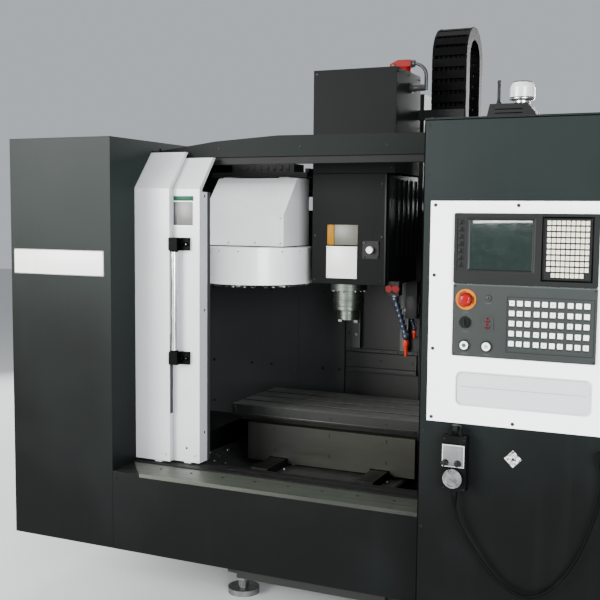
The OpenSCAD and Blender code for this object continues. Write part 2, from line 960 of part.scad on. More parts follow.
module start_button() {
  on_panel() {
    color([0.13, 0.30, 0.18])
      push_button(661);
  }
}

module stop_button() {
  on_panel() {
    color([0.20, 0.20, 0.21])
      push_button(725);
  }
}

module pendant() {
  color(c_black) {
    bx(612, 684, yc - 46, yc - 14, 692, 852);
    bx(622, 674, yc - 14, yc, 800, 846);
    bx(614, 682, yc - 48, yc - 46, 760, 830);
    // hanger loop over the hook
    difference() {
      plate_y(630, 666, yc - 34, yc - 24, 840, 882, 12);
      plate_y(639, 657, yc - 35, yc - 23, 850, 874, 1);
    }
    translate([648, yc - 30, 676])
      cylinder(r = 9, h = 16);
  }
  color(c_grey)
    bx(614, 680, yc - 50, yc - 48, 762, 828);
}

module selector(x) {
  color(c_black) {
    cyl_y(x, yc - 62, yc - 50.4, selector_z, 7.5);
    bx(x - 2, x + 2, yc - 66, yc - 62, selector_z - 7, selector_z + 7);
  }
}

module pendant_selector_a() {
  selector(624);
}

module pendant_selector_b() {
  selector(661);
}

module pendant_wheel() {
  color(c_steel) {
    cyl_y(648, yc - 58, yc - 50.6, 731, wheel_r);
    difference() {
      cyl_y(648, yc - 62, yc - 58, 731, wheel_r);
      cyl_y(648, yc - 63, yc - 59, 731, wheel_r - 5);
    }
    cyl_y(648, yc - 50.6, yc - 46.4, 731, 7);
    cyl_y(648 - wheel_r * 0.36, yc - 74, yc - 58, 731 + wheel_r * 0.7, 4.5);
  }
}

// cable from the pendant to the gland on the cabinet, round numbers chosen by eye
CABLE = [[648, -1010, 676], [648, -1010, 655], [652, -1010, 625], [664, -1009, 590], [684, -1008, 555],
  [708, -1006, 520], [736, -1004, 482], [768, -1002, 448], [806, -1000, 420], [850, -999, 404],
  [890, -999, 412], [928, -1000, 438], [964, -1001, 482], [996, -1002, 540], [1022, -1003, 605],
  [1040, -1004, 665], [1052, -1004, 720], [1058, -1004, 765], [1060, -1004, 800]];
cable_r = 4.5;
cable_k = 10;
cable_sub = 4;

// the run is stretched so that it always ends at the gland
function lay_x(x) = 648 + (x - 648) * (gland_x - 648) / 412;

function hermite(p0, p1, m0, m1, t) =
  (2 * t * t * t - 3 * t * t + 1) * p0 + (t * t * t - 2 * t * t + t) * m0
  + (-2 * t * t * t + 3 * t * t) * p1 + (t * t * t - t * t) * m1;

function slope(p, i) = let (n = len(p) - 1) (i == 0 ? p[1] - p[0] : i == n ? p[n] - p[n - 1]
  : (p[i + 1] - p[i - 1]) / 2);

function smooth(p, s) = [for (i = [0:1:len(p) - 2], j = [0:1:s - 1])
  hermite(p[i], p[i + 1], slope(p, i), slope(p, i + 1), j / s), p[len(p) - 1]];

function unit(v) = v / norm(v);

function ring_dir(p, i) = let (n = len(p) - 1) unit(i == 0 ? p[1] - p[0] : i == n ? p[n] - p[n - 1]
  : p[i + 1] - p[i - 1]);

module tube(p, r, k) {
  n = len(p);
  pts = [for (i = [0:1:n - 1]) let (d = ring_dir(p, i), u = unit(cross([0, 1, 0], d)), v = cross(d, u))
    for (j = [0:1:k - 1]) p[i] + r * (cos(360 * j / k) * u + sin(360 * j / k) * v)];
  side = [for (i = [0:1:n - 2], j = [0:1:k - 1])
    [i * k + j, i * k + (j + 1) % k, (i + 1) * k + (j + 1) % k, (i + 1) * k + j]];
  polyhedron(points = pts, faces = concat([[for (j = [k - 1:-1:0]) j]], side,
    [[for (j = [0:1:k - 1]) (n - 1) * k + j]]), convexity = 6);
}

module pendant_cable() {
  color(c_black)
    tube(smooth([for (p = CABLE) [lay_x(p[0]), p[1], p[2]]], cable_sub), cable_r, cable_k);
}

module roof_unit() {
  z0 = ctrl_top;
  color(c_black) {
    along_y(-660, -560, [[623, z0], [810, z0], [757, z0 + 70], [639, z0 + 70]]);
    bx(659, 666, -641, -634, z0 + 70, z0 + 136);
    translate([662.5, -637.5, z0 + 136])
      cylinder(r = 5.5, h = 8);
  }
  color([0.72, 0.74, 0.74])
    translate([730, -612, z0 + 70]) {
      cylinder(r = 24, h = 14);
      translate([0, 0, 14])
        cylinder(r = 38, h = 38);
      translate([0, 0, 52])
        cylinder(r1 = 38, r2 = 28, h = 18);
    }
}

module cable_gland() {
  color(c_grey) {
    bx(gland_x - 16, gland_x + 16, yc - 38, yc, 812, 844);
    translate([gland_x, yc - 24, 800])
      cylinder(r = 9, h = 12);
  }
}

module rear_cabinet() {
  color(c_dark) {
    difference() {
      bx(mx - 320, mx + 320, 740, 1026, 560, 1900);
      bx(mx - 317, mx + 317, 743, 1023, 563, 1897);
    }
    for (z = [760, 1230, 1700]) {
      bx(mx - 332, mx - 320, 1006, 1026, z - 30, z - 0.3);
    }
  }
}

module rear_cabinet_door() {
  color(c_dark) {
    difference() {
      plate_y(mx - 310, mx + 310, 1026.5, 1040, 572, 1888, 6);
      cyl_y(mx + 270, 1026, 1041, 1235, 8.4);
      for (i = [0:1:6]) {
        bx(mx - 120, mx + 120, 1036, 1041, 640 + i * 24, 650 + i * 24);
      }
    }
    for (z = [760, 1230, 1700]) {
      bx(mx - 332, mx - 310, 1027, 1036, z, z + 30);
    }
  }
}

module cabinet_latch() {
  color(c_black) {
    cyl_y(mx + 270, 1028, 1046, 1235, 8);
    cyl_y(mx + 270, 1040.5, 1048, 1235, 16);
    bx(mx + 261, mx + 279, 1046, 1054, 1150, 1252);
  }
}

base_casting();
levelling_feet();
column();
column_rails();
saddle();
saddle_cover();
table();
left_cabinet();
nameplate();
apron();
sill_plate();
chip_tray();
back_guard();
right_guard();
top_beam();
door_tracks();
door_rear_leaf();
door_front_leaf();
door_handle();
door_plate();
door_seal();
magazine_arm();
magazine_housing();
magazine_cover();
tool_disc();
tool_grippers();
head_casting();
head_cover();
head_side_guard();
head_plates();
clamp_button();
spindle_housing();
spindle();
coolant_block();
coolant_valve();
coolant_hoses();
motor_connector();
energy_chain();
control_cabinet();
white_panel();
screen_unit();
screen_glass();
keypad_keys();
operator_panel();
square_keys();
estop_ring();
estop_button();
key_switch();
start_button();
stop_button();
pendant();
pendant_selector_a();
pendant_selector_b();
pendant_wheel();
pendant_cable();
cable_gland();
roof_unit();
rear_cabinet();
rear_cabinet_door();
cabinet_latch();
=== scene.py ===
import math
import random

import bmesh
import bpy
from mathutils import Matrix, Vector


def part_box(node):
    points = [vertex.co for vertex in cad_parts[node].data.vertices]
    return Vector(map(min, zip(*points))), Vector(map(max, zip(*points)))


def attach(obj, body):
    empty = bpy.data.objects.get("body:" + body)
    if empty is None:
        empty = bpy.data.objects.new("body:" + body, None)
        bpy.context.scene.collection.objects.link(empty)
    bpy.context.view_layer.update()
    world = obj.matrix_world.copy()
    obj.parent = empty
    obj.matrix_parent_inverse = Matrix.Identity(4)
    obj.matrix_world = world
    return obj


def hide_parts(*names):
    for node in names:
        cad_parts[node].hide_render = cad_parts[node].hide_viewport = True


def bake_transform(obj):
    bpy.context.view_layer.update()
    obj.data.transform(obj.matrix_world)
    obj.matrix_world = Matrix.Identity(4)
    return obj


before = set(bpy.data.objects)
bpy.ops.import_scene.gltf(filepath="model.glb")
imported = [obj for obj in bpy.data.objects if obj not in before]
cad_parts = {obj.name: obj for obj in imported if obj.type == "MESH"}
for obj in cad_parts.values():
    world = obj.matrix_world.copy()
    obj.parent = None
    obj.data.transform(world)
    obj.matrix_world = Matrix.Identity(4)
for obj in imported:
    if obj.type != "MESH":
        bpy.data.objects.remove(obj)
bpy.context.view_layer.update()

# Camera, at the height of a standing person in front of the control cabinet.
# The lens and the lean come from the photograph's edges.
yaw, pitch, roll = (math.radians(a) for a in (24.2, 5.1, 0.52))
ahead = Vector((-math.sin(yaw), math.cos(yaw), 0.0))
level = Vector((math.cos(yaw), math.sin(yaw), 0.0))
look = ahead * math.cos(pitch) - Vector((0.0, 0.0, math.sin(pitch)))
rise = ahead * math.sin(pitch) + Vector((0.0, 0.0, math.cos(pitch)))
right = level * math.cos(roll) + rise * math.sin(roll)
up = rise * math.cos(roll) - level * math.sin(roll)
camera = bpy.data.objects.new("camera", bpy.data.cameras.new("camera"))
camera.data.lens = 57.4
camera.data.sensor_width = 36.0
camera_place = Matrix.Translation((1.347, -3.669, 1.481))
camera.matrix_world = camera_place @ Matrix((right, up, -look)).transposed().to_4x4()
bpy.context.scene.collection.objects.link(camera)
bpy.context.scene.camera = camera


# Studio light: large soft sources in front on the left and right, one above, one behind and one at the
# left, and two narrow strips: one that the display mirrors, one that the magazine's drum mirrors.
def soft_light(name, place, target, width, height, watts, tint=(1.0, 1.0, 1.0)):
    lamp = bpy.data.lights.new(name, "AREA")
    lamp.shape = "RECTANGLE"
    lamp.size = width
    lamp.size_y = height
    lamp.energy = watts
    lamp.color = tint
    obj = bpy.data.objects.new(name, lamp)
    aim = Vector(target) - Vector(place)
    obj.matrix_world = Matrix.Translation(place) @ aim.to_track_quat("-Z", "Y").to_matrix().to_4x4()
    bpy.context.scene.collection.objects.link(obj)


soft_light("key_light", (-3.1, -4.9, 2.3), (0.1, -0.8, 1.25), 2.8, 2.0, 630, (1.0, 0.99, 0.97))
soft_light("fill_light", (3.3, -4.6, 1.9), (0.6, -0.9, 1.25), 2.2, 2.2, 520, (0.95, 0.98, 1.0))
soft_light("top_light", (-0.4, 0.6, 4.6), (-0.2, 0.2, 1.0), 3.4, 3.0, 110)
soft_light("rear_light", (1.0, 5.4, 2.1), (0.0, 0.5, 1.1), 2.4, 2.2, 330)
soft_light("side_light", (-4.8, 2.6, 1.9), (-0.6, 0.2, 1.1), 2.2, 2.2, 150)
soft_light("display_strip", (-0.555, -7.0, 1.455), (0.758, -0.987, 1.462), 0.56, 0.022, 2.2)
soft_light("drum_strip", (-1.25, -4.8, 1.6), (-0.43, -0.3, 1.3), 0.16, 2.2, 26)
world = bpy.data.worlds.new("studio")
world.use_nodes = True
world.node_tree.nodes["Background"].inputs["Color"].default_value = (0.80, 0.86, 0.90, 1.0)
world.node_tree.nodes["Background"].inputs["Strength"].default_value = 0.6
bpy.context.scene.world = world



# Pendant cable: black 9 mm rubber cable that hangs in one loop from the pendant to the gland on the
# cabinet's front. Each end leaves through a ribbed boot. The points are the ones of the part's source.
cable_points = [Vector(p) / 1000.0 for p in (
    (648, -1010, 676), (648, -1010, 655), (652, -1010, 625), (664, -1009, 590), (684, -1008, 555),
    (708, -1006, 520), (736, -1004, 482), (768, -1002, 448), (806, -1000, 420), (850, -999, 404),
    (890, -999, 412), (928, -1000, 438), (964, -1001, 482), (996, -1002, 540), (1022, -1003, 605),
    (1040, -1004, 665), (1052, -1004, 720), (1058, -1004, 765), (1060, -1004, 800))]
last = len(cable_points) - 1
cable_slopes = [cable_points[min(k + 1, last)] - cable_points[max(k - 1, 0)] for k in range(last + 1)]
cable_slopes = [s if k in (0, last) else s / 2 for k, s in enumerate(cable_slopes)]
for k in range(last):
    for step in range(1, 13):
        t = step / 12
        point = ((2 * t ** 3 - 3 * t ** 2 + 1) * cable_points[k]
                 + (t ** 3 - 2 * t ** 2 + t) * cable_slopes[k]
                 + (3 * t ** 2 - 2 * t ** 3) * cable_points[k + 1]
                 + (t ** 3 - t ** 2) * cable_slopes[k + 1])
cable_curve = bpy.data.curves.new("pendant_cable_run", "CURVE")
cable_curve.dimensions = "3D"
cable_curve.bevel_depth = 0.0045
cable_curve.bevel_resolution = 5
cable_curve.resolution_u = 8
cable_curve.use_fill_caps = True
spline = cable_curve.splines.new("BEZIER")
spline.bezier_points.add(last)
for knot, point, slope in zip(spline.bezier_points, cable_points, cable_slopes):
    knot.co = point
    knot.handle_left = point - slope / 3
    knot.handle_right = point + slope / 3


def add(tree, kind, inputs=None, **settings):
    """Places one shader node, with its inputs linked or set."""
    node = tree.nodes.new("ShaderNode" + kind)
    for key, value in settings.items():
        setattr(node, key, value)
    for key, value in (inputs or {}).items():
        if isinstance(value, bpy.types.NodeSocket):
            tree.links.new(value, node.inputs[key])
        else:
            node.inputs[key].default_value = value
    return node


def shader_group(name, inputs, outputs):
    """Opens a node group with named sockets."""
    tree = bpy.data.node_groups.new(name, "ShaderNodeTree")
    for label, kind, value in inputs:
        socket = tree.interface.new_socket(name=label, in_out="INPUT", socket_type="NodeSocket" + kind)
        socket.default_value = value
    for label, kind in outputs:
        tree.interface.new_socket(name=label, in_out="OUTPUT", socket_type="NodeSocket" + kind)
    return tree, tree.nodes.new("NodeGroupInput").outputs, tree.nodes.new("NodeGroupOutput").inputs


def placed(tree, group, **values):
    """Places a node group in a material, with its own values."""
    node = tree.nodes.new("ShaderNodeGroup")
    node.node_tree = group
    for key, value in values.items():
        node.inputs[key.replace("_", " ")].default_value = value
    return node


# Dirt, tone and painted light of a shop floor: cloudy tone, runs down upright faces, dust on what faces up,
# and painted shade and light: a darker foot (Low Color) under a lighter top (High Color), as light falls
# from above.
dirt_and_light_group, t_in, t_out = shader_group("shop_dirt_and_painted_light", [
    ("Low Color", "Color", (0.03, 0.03, 0.03, 1)), ("High Color", "Color", (0.06, 0.07, 0.07, 1)),
    ("Dust Color", "Color", (0.35, 0.34, 0.31, 1)), ("Dust", "Float", 0.3), ("Runs", "Float", 0.2),
    ("Roughness", "Float", 0.4)], [("Color", "Color"), ("Roughness", "Float"), ("Height", "Float")])
t_coord = add(dirt_and_light_group, "TexCoord").outputs["Object"]
t_xyz = add(dirt_and_light_group, "SeparateXYZ", {0: t_coord}).outputs
# Painted shade and light: the coat goes from Low Color at the foot to High Color at the top.
t_lit_rise = add(dirt_and_light_group, "MapRange", {"Value": t_xyz["Z"], "From Min": 0.35, "From Max": 1.75},
             interpolation_type="SMOOTHSTEP").outputs[0]
t_cloud = add(dirt_and_light_group, "TexNoise", {"Vector": t_coord, "Scale": 2.3, "Detail": 5.0}).outputs[0]
t_shift = add(dirt_and_light_group, "MapRange", {"Value": t_cloud, "From Min": 0.3, "From Max": 0.7, "To Min": -0.22,
                                       "To Max": 0.22}).outputs[0]
t_mix = add(dirt_and_light_group, "Math", {0: t_lit_rise, 1: t_shift}, operation="ADD", use_clamp=True).outputs[0]
t_tone_and_painted_light = add(dirt_and_light_group, "Mix", {0: t_mix, 6: t_in["Low Color"], 7: t_in["High Color"]},
              data_type="RGBA").outputs[2]
t_tall = add(dirt_and_light_group, "Mapping", {"Vector": t_coord, "Scale": (34.0, 34.0, 1.3)}).outputs[0]
t_run = add(dirt_and_light_group, "TexNoise", {"Vector": t_tall, "Scale": 1.0, "Detail": 4.0}).outputs[0]
t_run = add(dirt_and_light_group, "MapRange", {"Value": t_run, "From Min": 0.55, "From Max": 0.8}).outputs[0]
t_run = add(dirt_and_light_group, "Math", {0: t_run, 1: t_in["Runs"]}, operation="MULTIPLY").outputs[0]
t_up = add(dirt_and_light_group, "SeparateXYZ", {0: add(dirt_and_light_group, "NewGeometry").outputs["Normal"]}).outputs["Z"]
t_up = add(dirt_and_light_group, "MapRange", {"Value": t_up, "From Min": 0.4, "From Max": 0.95}).outputs[0]
t_fleck = add(dirt_and_light_group, "TexNoise",
              {"Vector": t_coord, "Scale": 38.0, "Detail": 6.0, "Roughness": 0.7}).outputs[0]
t_fleck = add(dirt_and_light_group, "MapRange", {"Value": t_fleck, "From Min": 0.35, "From Max": 0.75}).outputs[0]
t_dust = add(dirt_and_light_group, "Math", {0: t_up, 1: t_fleck}, operation="MULTIPLY").outputs[0]
t_dust = add(dirt_and_light_group, "Math", {0: t_dust, 1: t_in["Dust"]}, operation="MULTIPLY").outputs[0]
t_dust = add(dirt_and_light_group, "Math", {0: t_dust, 1: t_run}, operation="ADD", use_clamp=True).outputs[0]
t_face = add(dirt_and_light_group, "Mix", {0: t_dust, 6: t_tone_and_painted_light, 7: t_in["Dust Color"]}, data_type="RGBA").outputs[2]
dirt_and_light_group.links.new(t_face, t_out["Color"])
t_rough = add(dirt_and_light_group, "Math", {0: t_dust, 1: 0.4, 2: t_in["Roughness"]},
              operation="MULTIPLY_ADD").outputs[0]
t_vary = add(dirt_and_light_group, "MapRange", {"Value": t_cloud, "To Min": -0.07, "To Max": 0.07}).outputs[0]
t_rough = add(dirt_and_light_group, "Math", {0: t_vary, 1: t_rough}, operation="ADD", use_clamp=True).outputs[0]
dirt_and_light_group.links.new(t_rough, t_out["Roughness"])
dirt_and_light_group.links.new(t_fleck, t_out["Height"])

# Skin of a sprayed, cast or moulded face: fine pimples of one size.
skin_group, s_in, s_out = shader_group("skin", [("Scale", "Float", 400.0), ("Detail", "Float", 2.0)],
                                       [("Height", "Float")])
s_noise = add(skin_group, "TexNoise", {"Vector": add(skin_group, "TexCoord").outputs["Object"],
                                       "Scale": s_in["Scale"], "Detail": s_in["Detail"]})
skin_group.links.new(s_noise.outputs[0], s_out["Height"])


def blank(name, **sockets):
    """A new material with its shader's plain values set."""
    mat = bpy.data.materials.new(name)
    mat.use_nodes = True
    shader = mat.node_tree.nodes["Principled BSDF"]
    for key, value in sockets.items():
        shader.inputs[key.replace("_", " ")].default_value = value
    return mat, mat.node_tree, shader


def coated(name, low, high, rough, dust=0.3, runs=0.1, skin=420.0, depth=0.05, gloss=0.0,
           haze=(0.35, 0.34, 0.31, 1), mirror=0.5):
    """A sprayed, moulded or rubber face: painted shade low, painted light high, dust, runs and a fine skin.
    """
    mat, tree, shader = blank(name, Coat_Weight=gloss, Coat_Roughness=0.12, Specular_IOR_Level=mirror)
    # low is the painted shade at the foot, high the painted light at the top.
    tone = placed(tree, dirt_and_light_group, Low_Color=(*low, 1), High_Color=(*high, 1), Dust_Color=haze, Dust=dust,
                  Runs=runs, Roughness=rough)
    pimples = placed(tree, skin_group, Scale=skin)
    tree.links.new(tone.outputs["Color"], shader.inputs["Base Color"])
    tree.links.new(tone.outputs["Roughness"], shader.inputs["Roughness"])
    bump = add(tree, "Bump", {"Height": pimples.outputs[0], "Strength": depth, "Distance": 0.0006})
    tree.links.new(bump.outputs[0], shader.inputs["Normal"])
    return mat


cable_rubber = coated("cable_rubber", (0.0012, 0.0012, 0.0013), (0.0018, 0.0018, 0.0019), 0.6, dust=0.05,
                      skin=900, depth=0.1, haze=(0.02, 0.02, 0.02, 1), mirror=0.05)
cable_curve.materials.append(cable_rubber)
cable = bpy.data.objects.new("pendant_cable_run", cable_curve)
bpy.context.scene.collection.objects.link(cable)


def turned(bm, at, axis, outline, steps=32, mat=0):
    """Anything made on a lathe: an outline of radius and height, turned about an axis, in millimetres."""
    lean = Vector((0, 0, 1)).rotation_difference(Vector(axis)).to_matrix()
    at = Vector(at) / 1000.0
    rings = []
    for r, h in outline:
        around = 1 if r < 1e-6 else steps
        rings.append([bm.verts.new(at + lean @ Vector((r * math.cos(2 * math.pi * k / steps),
                                                       r * math.sin(2 * math.pi * k / steps), h)) / 1000.0)
                      for k in range(around)])
    for low, high in zip(rings, rings[1:]):
        for k in range(steps):
            a, b = low[k % len(low)], low[(k + 1) % len(low)]
            c, d = high[(k + 1) % len(high)], high[k % len(high)]
            corners = list(dict.fromkeys((a, b, c, d)))
            if len(corners) > 2:
                bm.faces.new(corners).material_index = mat


def piece(name, body, bm, finishes, stands_for=()):
    """Makes the piece from its mesh, and gives it its body and finishes."""
    bmesh.ops.recalc_face_normals(bm, faces=bm.faces[:])
    mesh = bpy.data.meshes.new(name)
    bm.to_mesh(mesh)
    bm.free()
    for finish in finishes:
        mesh.materials.append(finish)
    mesh.polygons.foreach_set("use_smooth", [True] * len(mesh.polygons))
    mesh.set_sharp_from_angle(angle=math.radians(35.0))
    obj = bpy.data.objects.new(name, mesh)
    bpy.context.scene.collection.objects.link(obj)
    if body:
        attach(obj, body)
    if stands_for:
        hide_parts(*stands_for)
    return obj


for name, k, sign, long in (("pendant_boot", 0, 1, 34), ("gland_boot", last, -1, 30)):
    bm = bmesh.new()
    boot = [(4.6, 0.4), (8.6, 0.4), (8.8, 4.0)]
    for ring in range(6):
        h, r = 5.0 + ring * (long - 6) / 6, 8.4 - ring * 0.45
        boot += [(r, h), (r, h + 2.6), (r - 1.1, h + 3.0), (r - 1.1, h + 4.2)]
    boot += [(5.3, long), (4.6, long)]
    turned(bm, cable_points[k] * 1000.0, cable_slopes[k] * sign, boot, 24)
    piece(name, "frame", bm, [cable_rubber])
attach(cable, "frame")
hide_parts("pendant_cable")

# Workshop floor, a plain pale ground for the picture.
bm = bmesh.new()
bmesh.ops.create_grid(bm, x_segments=1, y_segments=1, size=16.0)
floor_mesh = bpy.data.meshes.new("ground")
bm.to_mesh(floor_mesh)
bm.free()
ground = bpy.data.objects.new("ground", floor_mesh)
bpy.context.scene.collection.objects.link(ground)
ground.data.materials.append(coated("ground_finish", (0.55, 0.56, 0.56), (0.55, 0.56, 0.56), 0.6, dust=0.15,
                                    runs=0.0, skin=40, depth=0.1, haze=(0.48, 0.48, 0.47, 1)))

# Base and column: grey-green cast iron, bare and ground on the base's ways, with screwed rails on the
# column. Six jack screws carry it; their threads are cut 3 mm apart.
cast_iron = coated("cast_iron_coat", (0.0092, 0.0105, 0.0088), (0.0134, 0.016, 0.013), 0.5, dust=0.4,
                   runs=0.04, skin=130, depth=0.22, haze=(0.07, 0.07, 0.06, 1), mirror=0.35)

# Grain of brushed, ground or drawn metal: long streaks along one axis and a few handling scratches.
grain_group, g_in, g_out = shader_group("metal_grain", [
    ("Streaks", "Vector", (4.0, 4.0, 260.0)), ("Light", "Color", (0.6, 0.6, 0.6, 1)),
    ("Dark", "Color", (0.4, 0.4, 0.4, 1)), ("Roughness", "Float", 0.3)],
    [("Color", "Color"), ("Roughness", "Float"), ("Height", "Float")])
g_coord = add(grain_group, "TexCoord").outputs["Object"]
g_map = add(grain_group, "VectorMath", {0: g_coord, 1: g_in["Streaks"]}, operation="MULTIPLY").outputs[0]
g_streak = add(grain_group, "TexNoise", {"Vector": g_map, "Scale": 1.0, "Detail": 3.0}).outputs[0]
g_blot = add(grain_group, "TexNoise", {"Vector": g_coord, "Scale": 7.0, "Detail": 5.0}).outputs[0]
g_fac = add(grain_group, "Math", {0: g_streak, 1: g_blot}, operation="MULTIPLY").outputs[0]
g_fac = add(grain_group, "MapRange", {"Value": g_fac, "From Min": 0.12, "From Max": 0.4}).outputs[0]
g_face = add(grain_group, "Mix", {0: g_fac, 6: g_in["Dark"], 7: g_in["Light"]}, data_type="RGBA").outputs[2]
grain_group.links.new(g_face, g_out["Color"])
g_vary = add(grain_group, "MapRange", {"Value": g_fac, "To Min": 0.12, "To Max": -0.08}).outputs[0]
g_rough = add(grain_group, "Math", {0: g_vary, 1: g_in["Roughness"]}, operation="ADD",
              use_clamp=True).outputs[0]
grain_group.links.new(g_rough, g_out["Roughness"])
grain_group.links.new(g_streak, g_out["Height"])


def metal(name, light, dark, rough, streaks, depth=0.06, metallic=1.0):
    """Bare metal, brushed, ground or turned along its streaks."""
    mat, tree, shader = blank(name, Metallic=metallic)
    grain = placed(tree, grain_group, Light=(*light, 1), Dark=(*dark, 1), Roughness=rough, Streaks=streaks)
    tree.links.new(grain.outputs["Color"], shader.inputs["Base Color"])
    tree.links.new(grain.outputs["Roughness"], shader.inputs["Roughness"])
    bump = add(tree, "Bump", {"Height": grain.outputs["Height"], "Strength": depth, "Distance": 0.0003})
    tree.links.new(bump.outputs[0], shader.inputs["Normal"])
    return mat


upright_steel = metal("upright_ground_steel", (0.085, 0.09, 0.085), (0.04, 0.043, 0.04), 0.4,
                      (240.0, 240.0, 3.0))
zinc = metal("zinc_plate", (0.26, 0.265, 0.26), (0.14, 0.145, 0.145), 0.4, (40.0, 40.0, 40.0), 0.1)
bolt_black = coated("bolt_black", (0.010, 0.0105, 0.010), (0.015, 0.016, 0.015), 0.45, dust=0.2, runs=0.0,
                    haze=(0.05, 0.05, 0.045, 1), mirror=0.2)
base_finish = cast_iron.copy()
base_finish.name = "base_casting_coat"
tree = base_finish.node_tree
shader = tree.nodes["Principled BSDF"]
height = add(tree, "SeparateXYZ", {0: add(tree, "TexCoord").outputs["Object"]}).outputs["Z"]
way = add(tree, "Math", {0: height, 1: 0.5003}, operation="GREATER_THAN").outputs[0]
grain = placed(tree, grain_group, Light=(0.035, 0.037, 0.033, 1), Dark=(0.014, 0.015, 0.013, 1),
               Roughness=0.45, Streaks=(260.0, 3.0, 3.0))
for socket in ("Base Color", "Roughness"):
    painted = shader.inputs[socket].links[0].from_socket
    kind, a, b, out = ("RGBA", 6, 7, 2) if socket == "Base Color" else ("FLOAT", 2, 3, 0)
    bare = grain.outputs["Color" if kind == "RGBA" else "Roughness"]
    both = add(tree, "Mix", {0: way, a: painted, b: bare}, data_type=kind)
    tree.links.new(both.outputs[out], shader.inputs[socket])
tree.links.new(way, shader.inputs["Metallic"])


def dress(finish, *names, edge):
    """Gives CAD nodes their finish, and breaks their sharp edges by a small radius."""
    for name in names:
        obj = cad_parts[name]
        obj.data.materials.clear()
        obj.data.materials.append(finish)
        obj.data.polygons.foreach_set("use_smooth", [True] * len(obj.data.polygons))
        for packed in ("custom_normal", "sharp_edge"):
            if packed in obj.data.attributes:
                obj.data.attributes.remove(obj.data.attributes[packed])
        join = obj.modifiers.new("join", "WELD")
        join.merge_threshold = 0.00001
        ease = obj.modifiers.new("eased_edges", "BEVEL")
        ease.width = edge / 1000.0
        ease.segments = 2
        ease.angle_limit = math.radians(38)
        ease.use_clamp_overlap = True
        ease.miter_outer = "MITER_ARC"
        flat = obj.modifiers.new("flat_faces", "WEIGHTED_NORMAL")
        flat.keep_sharp = True


dress(base_finish, "base_casting", edge=2.5)
dress(cast_iron, "column", "saddle", edge=1.6)
dress(cast_iron, "head_casting", edge=1.5)
dress(zinc, "levelling_feet", edge=0.8)
dress(upright_steel, "column_rails", edge=0.8)
bm = bmesh.new()
for x in (-345, 295):
    for y in (-420, 180, 740):
        for low, count in ((24, 8), (71, 6)):
            for ring in range(count):
                turned(bm, (x, y, low + ring * 3), (0, 0, 1),
                       [(18.0, 0), (19.4, 1.1), (19.4, 1.6), (18.0, 2.9)], 24)
piece("jack_threads", "frame", bm, [zinc])


def screws(bm, points, axis, r=4.5, h=2.5, mat=0):
    """Cap screws with a socket, all facing along one axis."""
    for p in points:
        turned(bm, p, axis,
               [(0, h * 0.3), (r * 0.45, h * 0.3), (r * 0.5, h * 0.95), (r * 0.86, h),
                (r, h * 0.72), (r, 0)], 14, mat)


bm = bmesh.new()
screws(bm, [(x + side, y, 500.0) for x in (-235, 185) for side in (-48, 48) for y in range(-480, 230, 88)],
       (0, 0, 1), 6.5, 7)
screws(bm, [(x, 300, 500.0) for x in (-355, 305)], (0, 0, 1), 11, 12)
piece("way_screws", "frame", bm, [zinc])
bm = bmesh.new()
for side in (-135, 85):
    for z in range(960, 1921, 120):
        turned(bm, (side, 242.0, z), (0, -1, 0),
               [(0, 0.0), (0, 7.2), (3.0, 7.2), (3.1, 9.2), (6.2, 9.4), (6.8, 8.8), (6.8, 0)], 18)
piece("rail_plugs", "frame", bm, [zinc])
bm = bmesh.new()
screws(bm, [(x, 257.0, 887) for x in (-170, -100, -25, 50, 120)], (0, -1, 0))
screws(bm, [(x, 252.0, 846) for x in (-170, -25, 120)], (0, -1, 0))
screws(bm, [(x, 262.0, z) for x in (-182, 132) for z in (960, 1090, 1220, 1350, 1480, 1610)],
       (0, -1, 0), 5.5, 4)
piece("column_front_screws", "frame", bm, [bolt_black])

# Cross table: a saddle with its sheet front cover on the base's ways, and the ground table with three
# T-slots. A thin strip and two end blocks are screwed to the table's front.
sheet_steel = metal("saddle_cover_sheet", (0.022, 0.023, 0.015), (0.0102, 0.011, 0.0075), 0.45,
                    (3.0, 3.0, 150.0), 0.08, 0.5)
table_steel = metal("table_top_steel", (0.178, 0.182, 0.166), (0.088, 0.090, 0.082), 0.42,
                    (3.0, 320.0, 320.0), 0.06, 0.55)
tree = sheet_steel.node_tree
shader = tree.nodes["Principled BSDF"]
bare = shader.inputs["Base Color"].links[0].from_socket
# Painted shadow: the cover darkens towards its left end, where the closed doors shade it, broken up by
# noise.
across = add(tree, "SeparateXYZ", {0: add(tree, "TexCoord").outputs["Object"]}).outputs["X"]
blot = add(tree, "TexNoise", {"Scale": 5.0, "Detail": 5.0}).outputs[0]
door_shadow_mask = add(tree, "Math", {0: blot, 1: 0.5, 2: across}, operation="MULTIPLY_ADD").outputs[0]
door_shadow_mask = add(tree, "MapRange",
           {"Value": door_shadow_mask, "From Min": 0.38, "From Max": 0.02, "To Min": 0.0, "To Max": 0.85}).outputs[0]
shadowed_cover = add(tree, "Mix", {0: door_shadow_mask, 6: bare, 7: (0.004, 0.004, 0.0035, 1)}, data_type="RGBA").outputs[2]
tree.links.new(shadowed_cover, shader.inputs["Base Color"])
dress(sheet_steel, "saddle_cover", edge=0.8)


def shade_upright_faces(finish, upright_shade):
    """Leaves a metal as it is where it faces up, and paints its upright faces darker as painted shade."""
    tree = finish.node_tree
    shader = tree.nodes["Principled BSDF"]
    bare = shader.inputs["Base Color"].links[0].from_socket
    upward = add(tree, "SeparateXYZ", {0: add(tree, "NewGeometry").outputs["Normal"]}).outputs["Z"]
    faces_up_mask = add(tree, "MapRange", {"Value": upward, "From Min": 0.3, "From Max": 0.9}).outputs[0]
    both = add(tree, "Mix", {0: faces_up_mask, 6: (*upright_shade, 1), 7: bare}, data_type="RGBA").outputs[2]
    tree.links.new(both, shader.inputs["Base Color"])
    return tree, shader, both


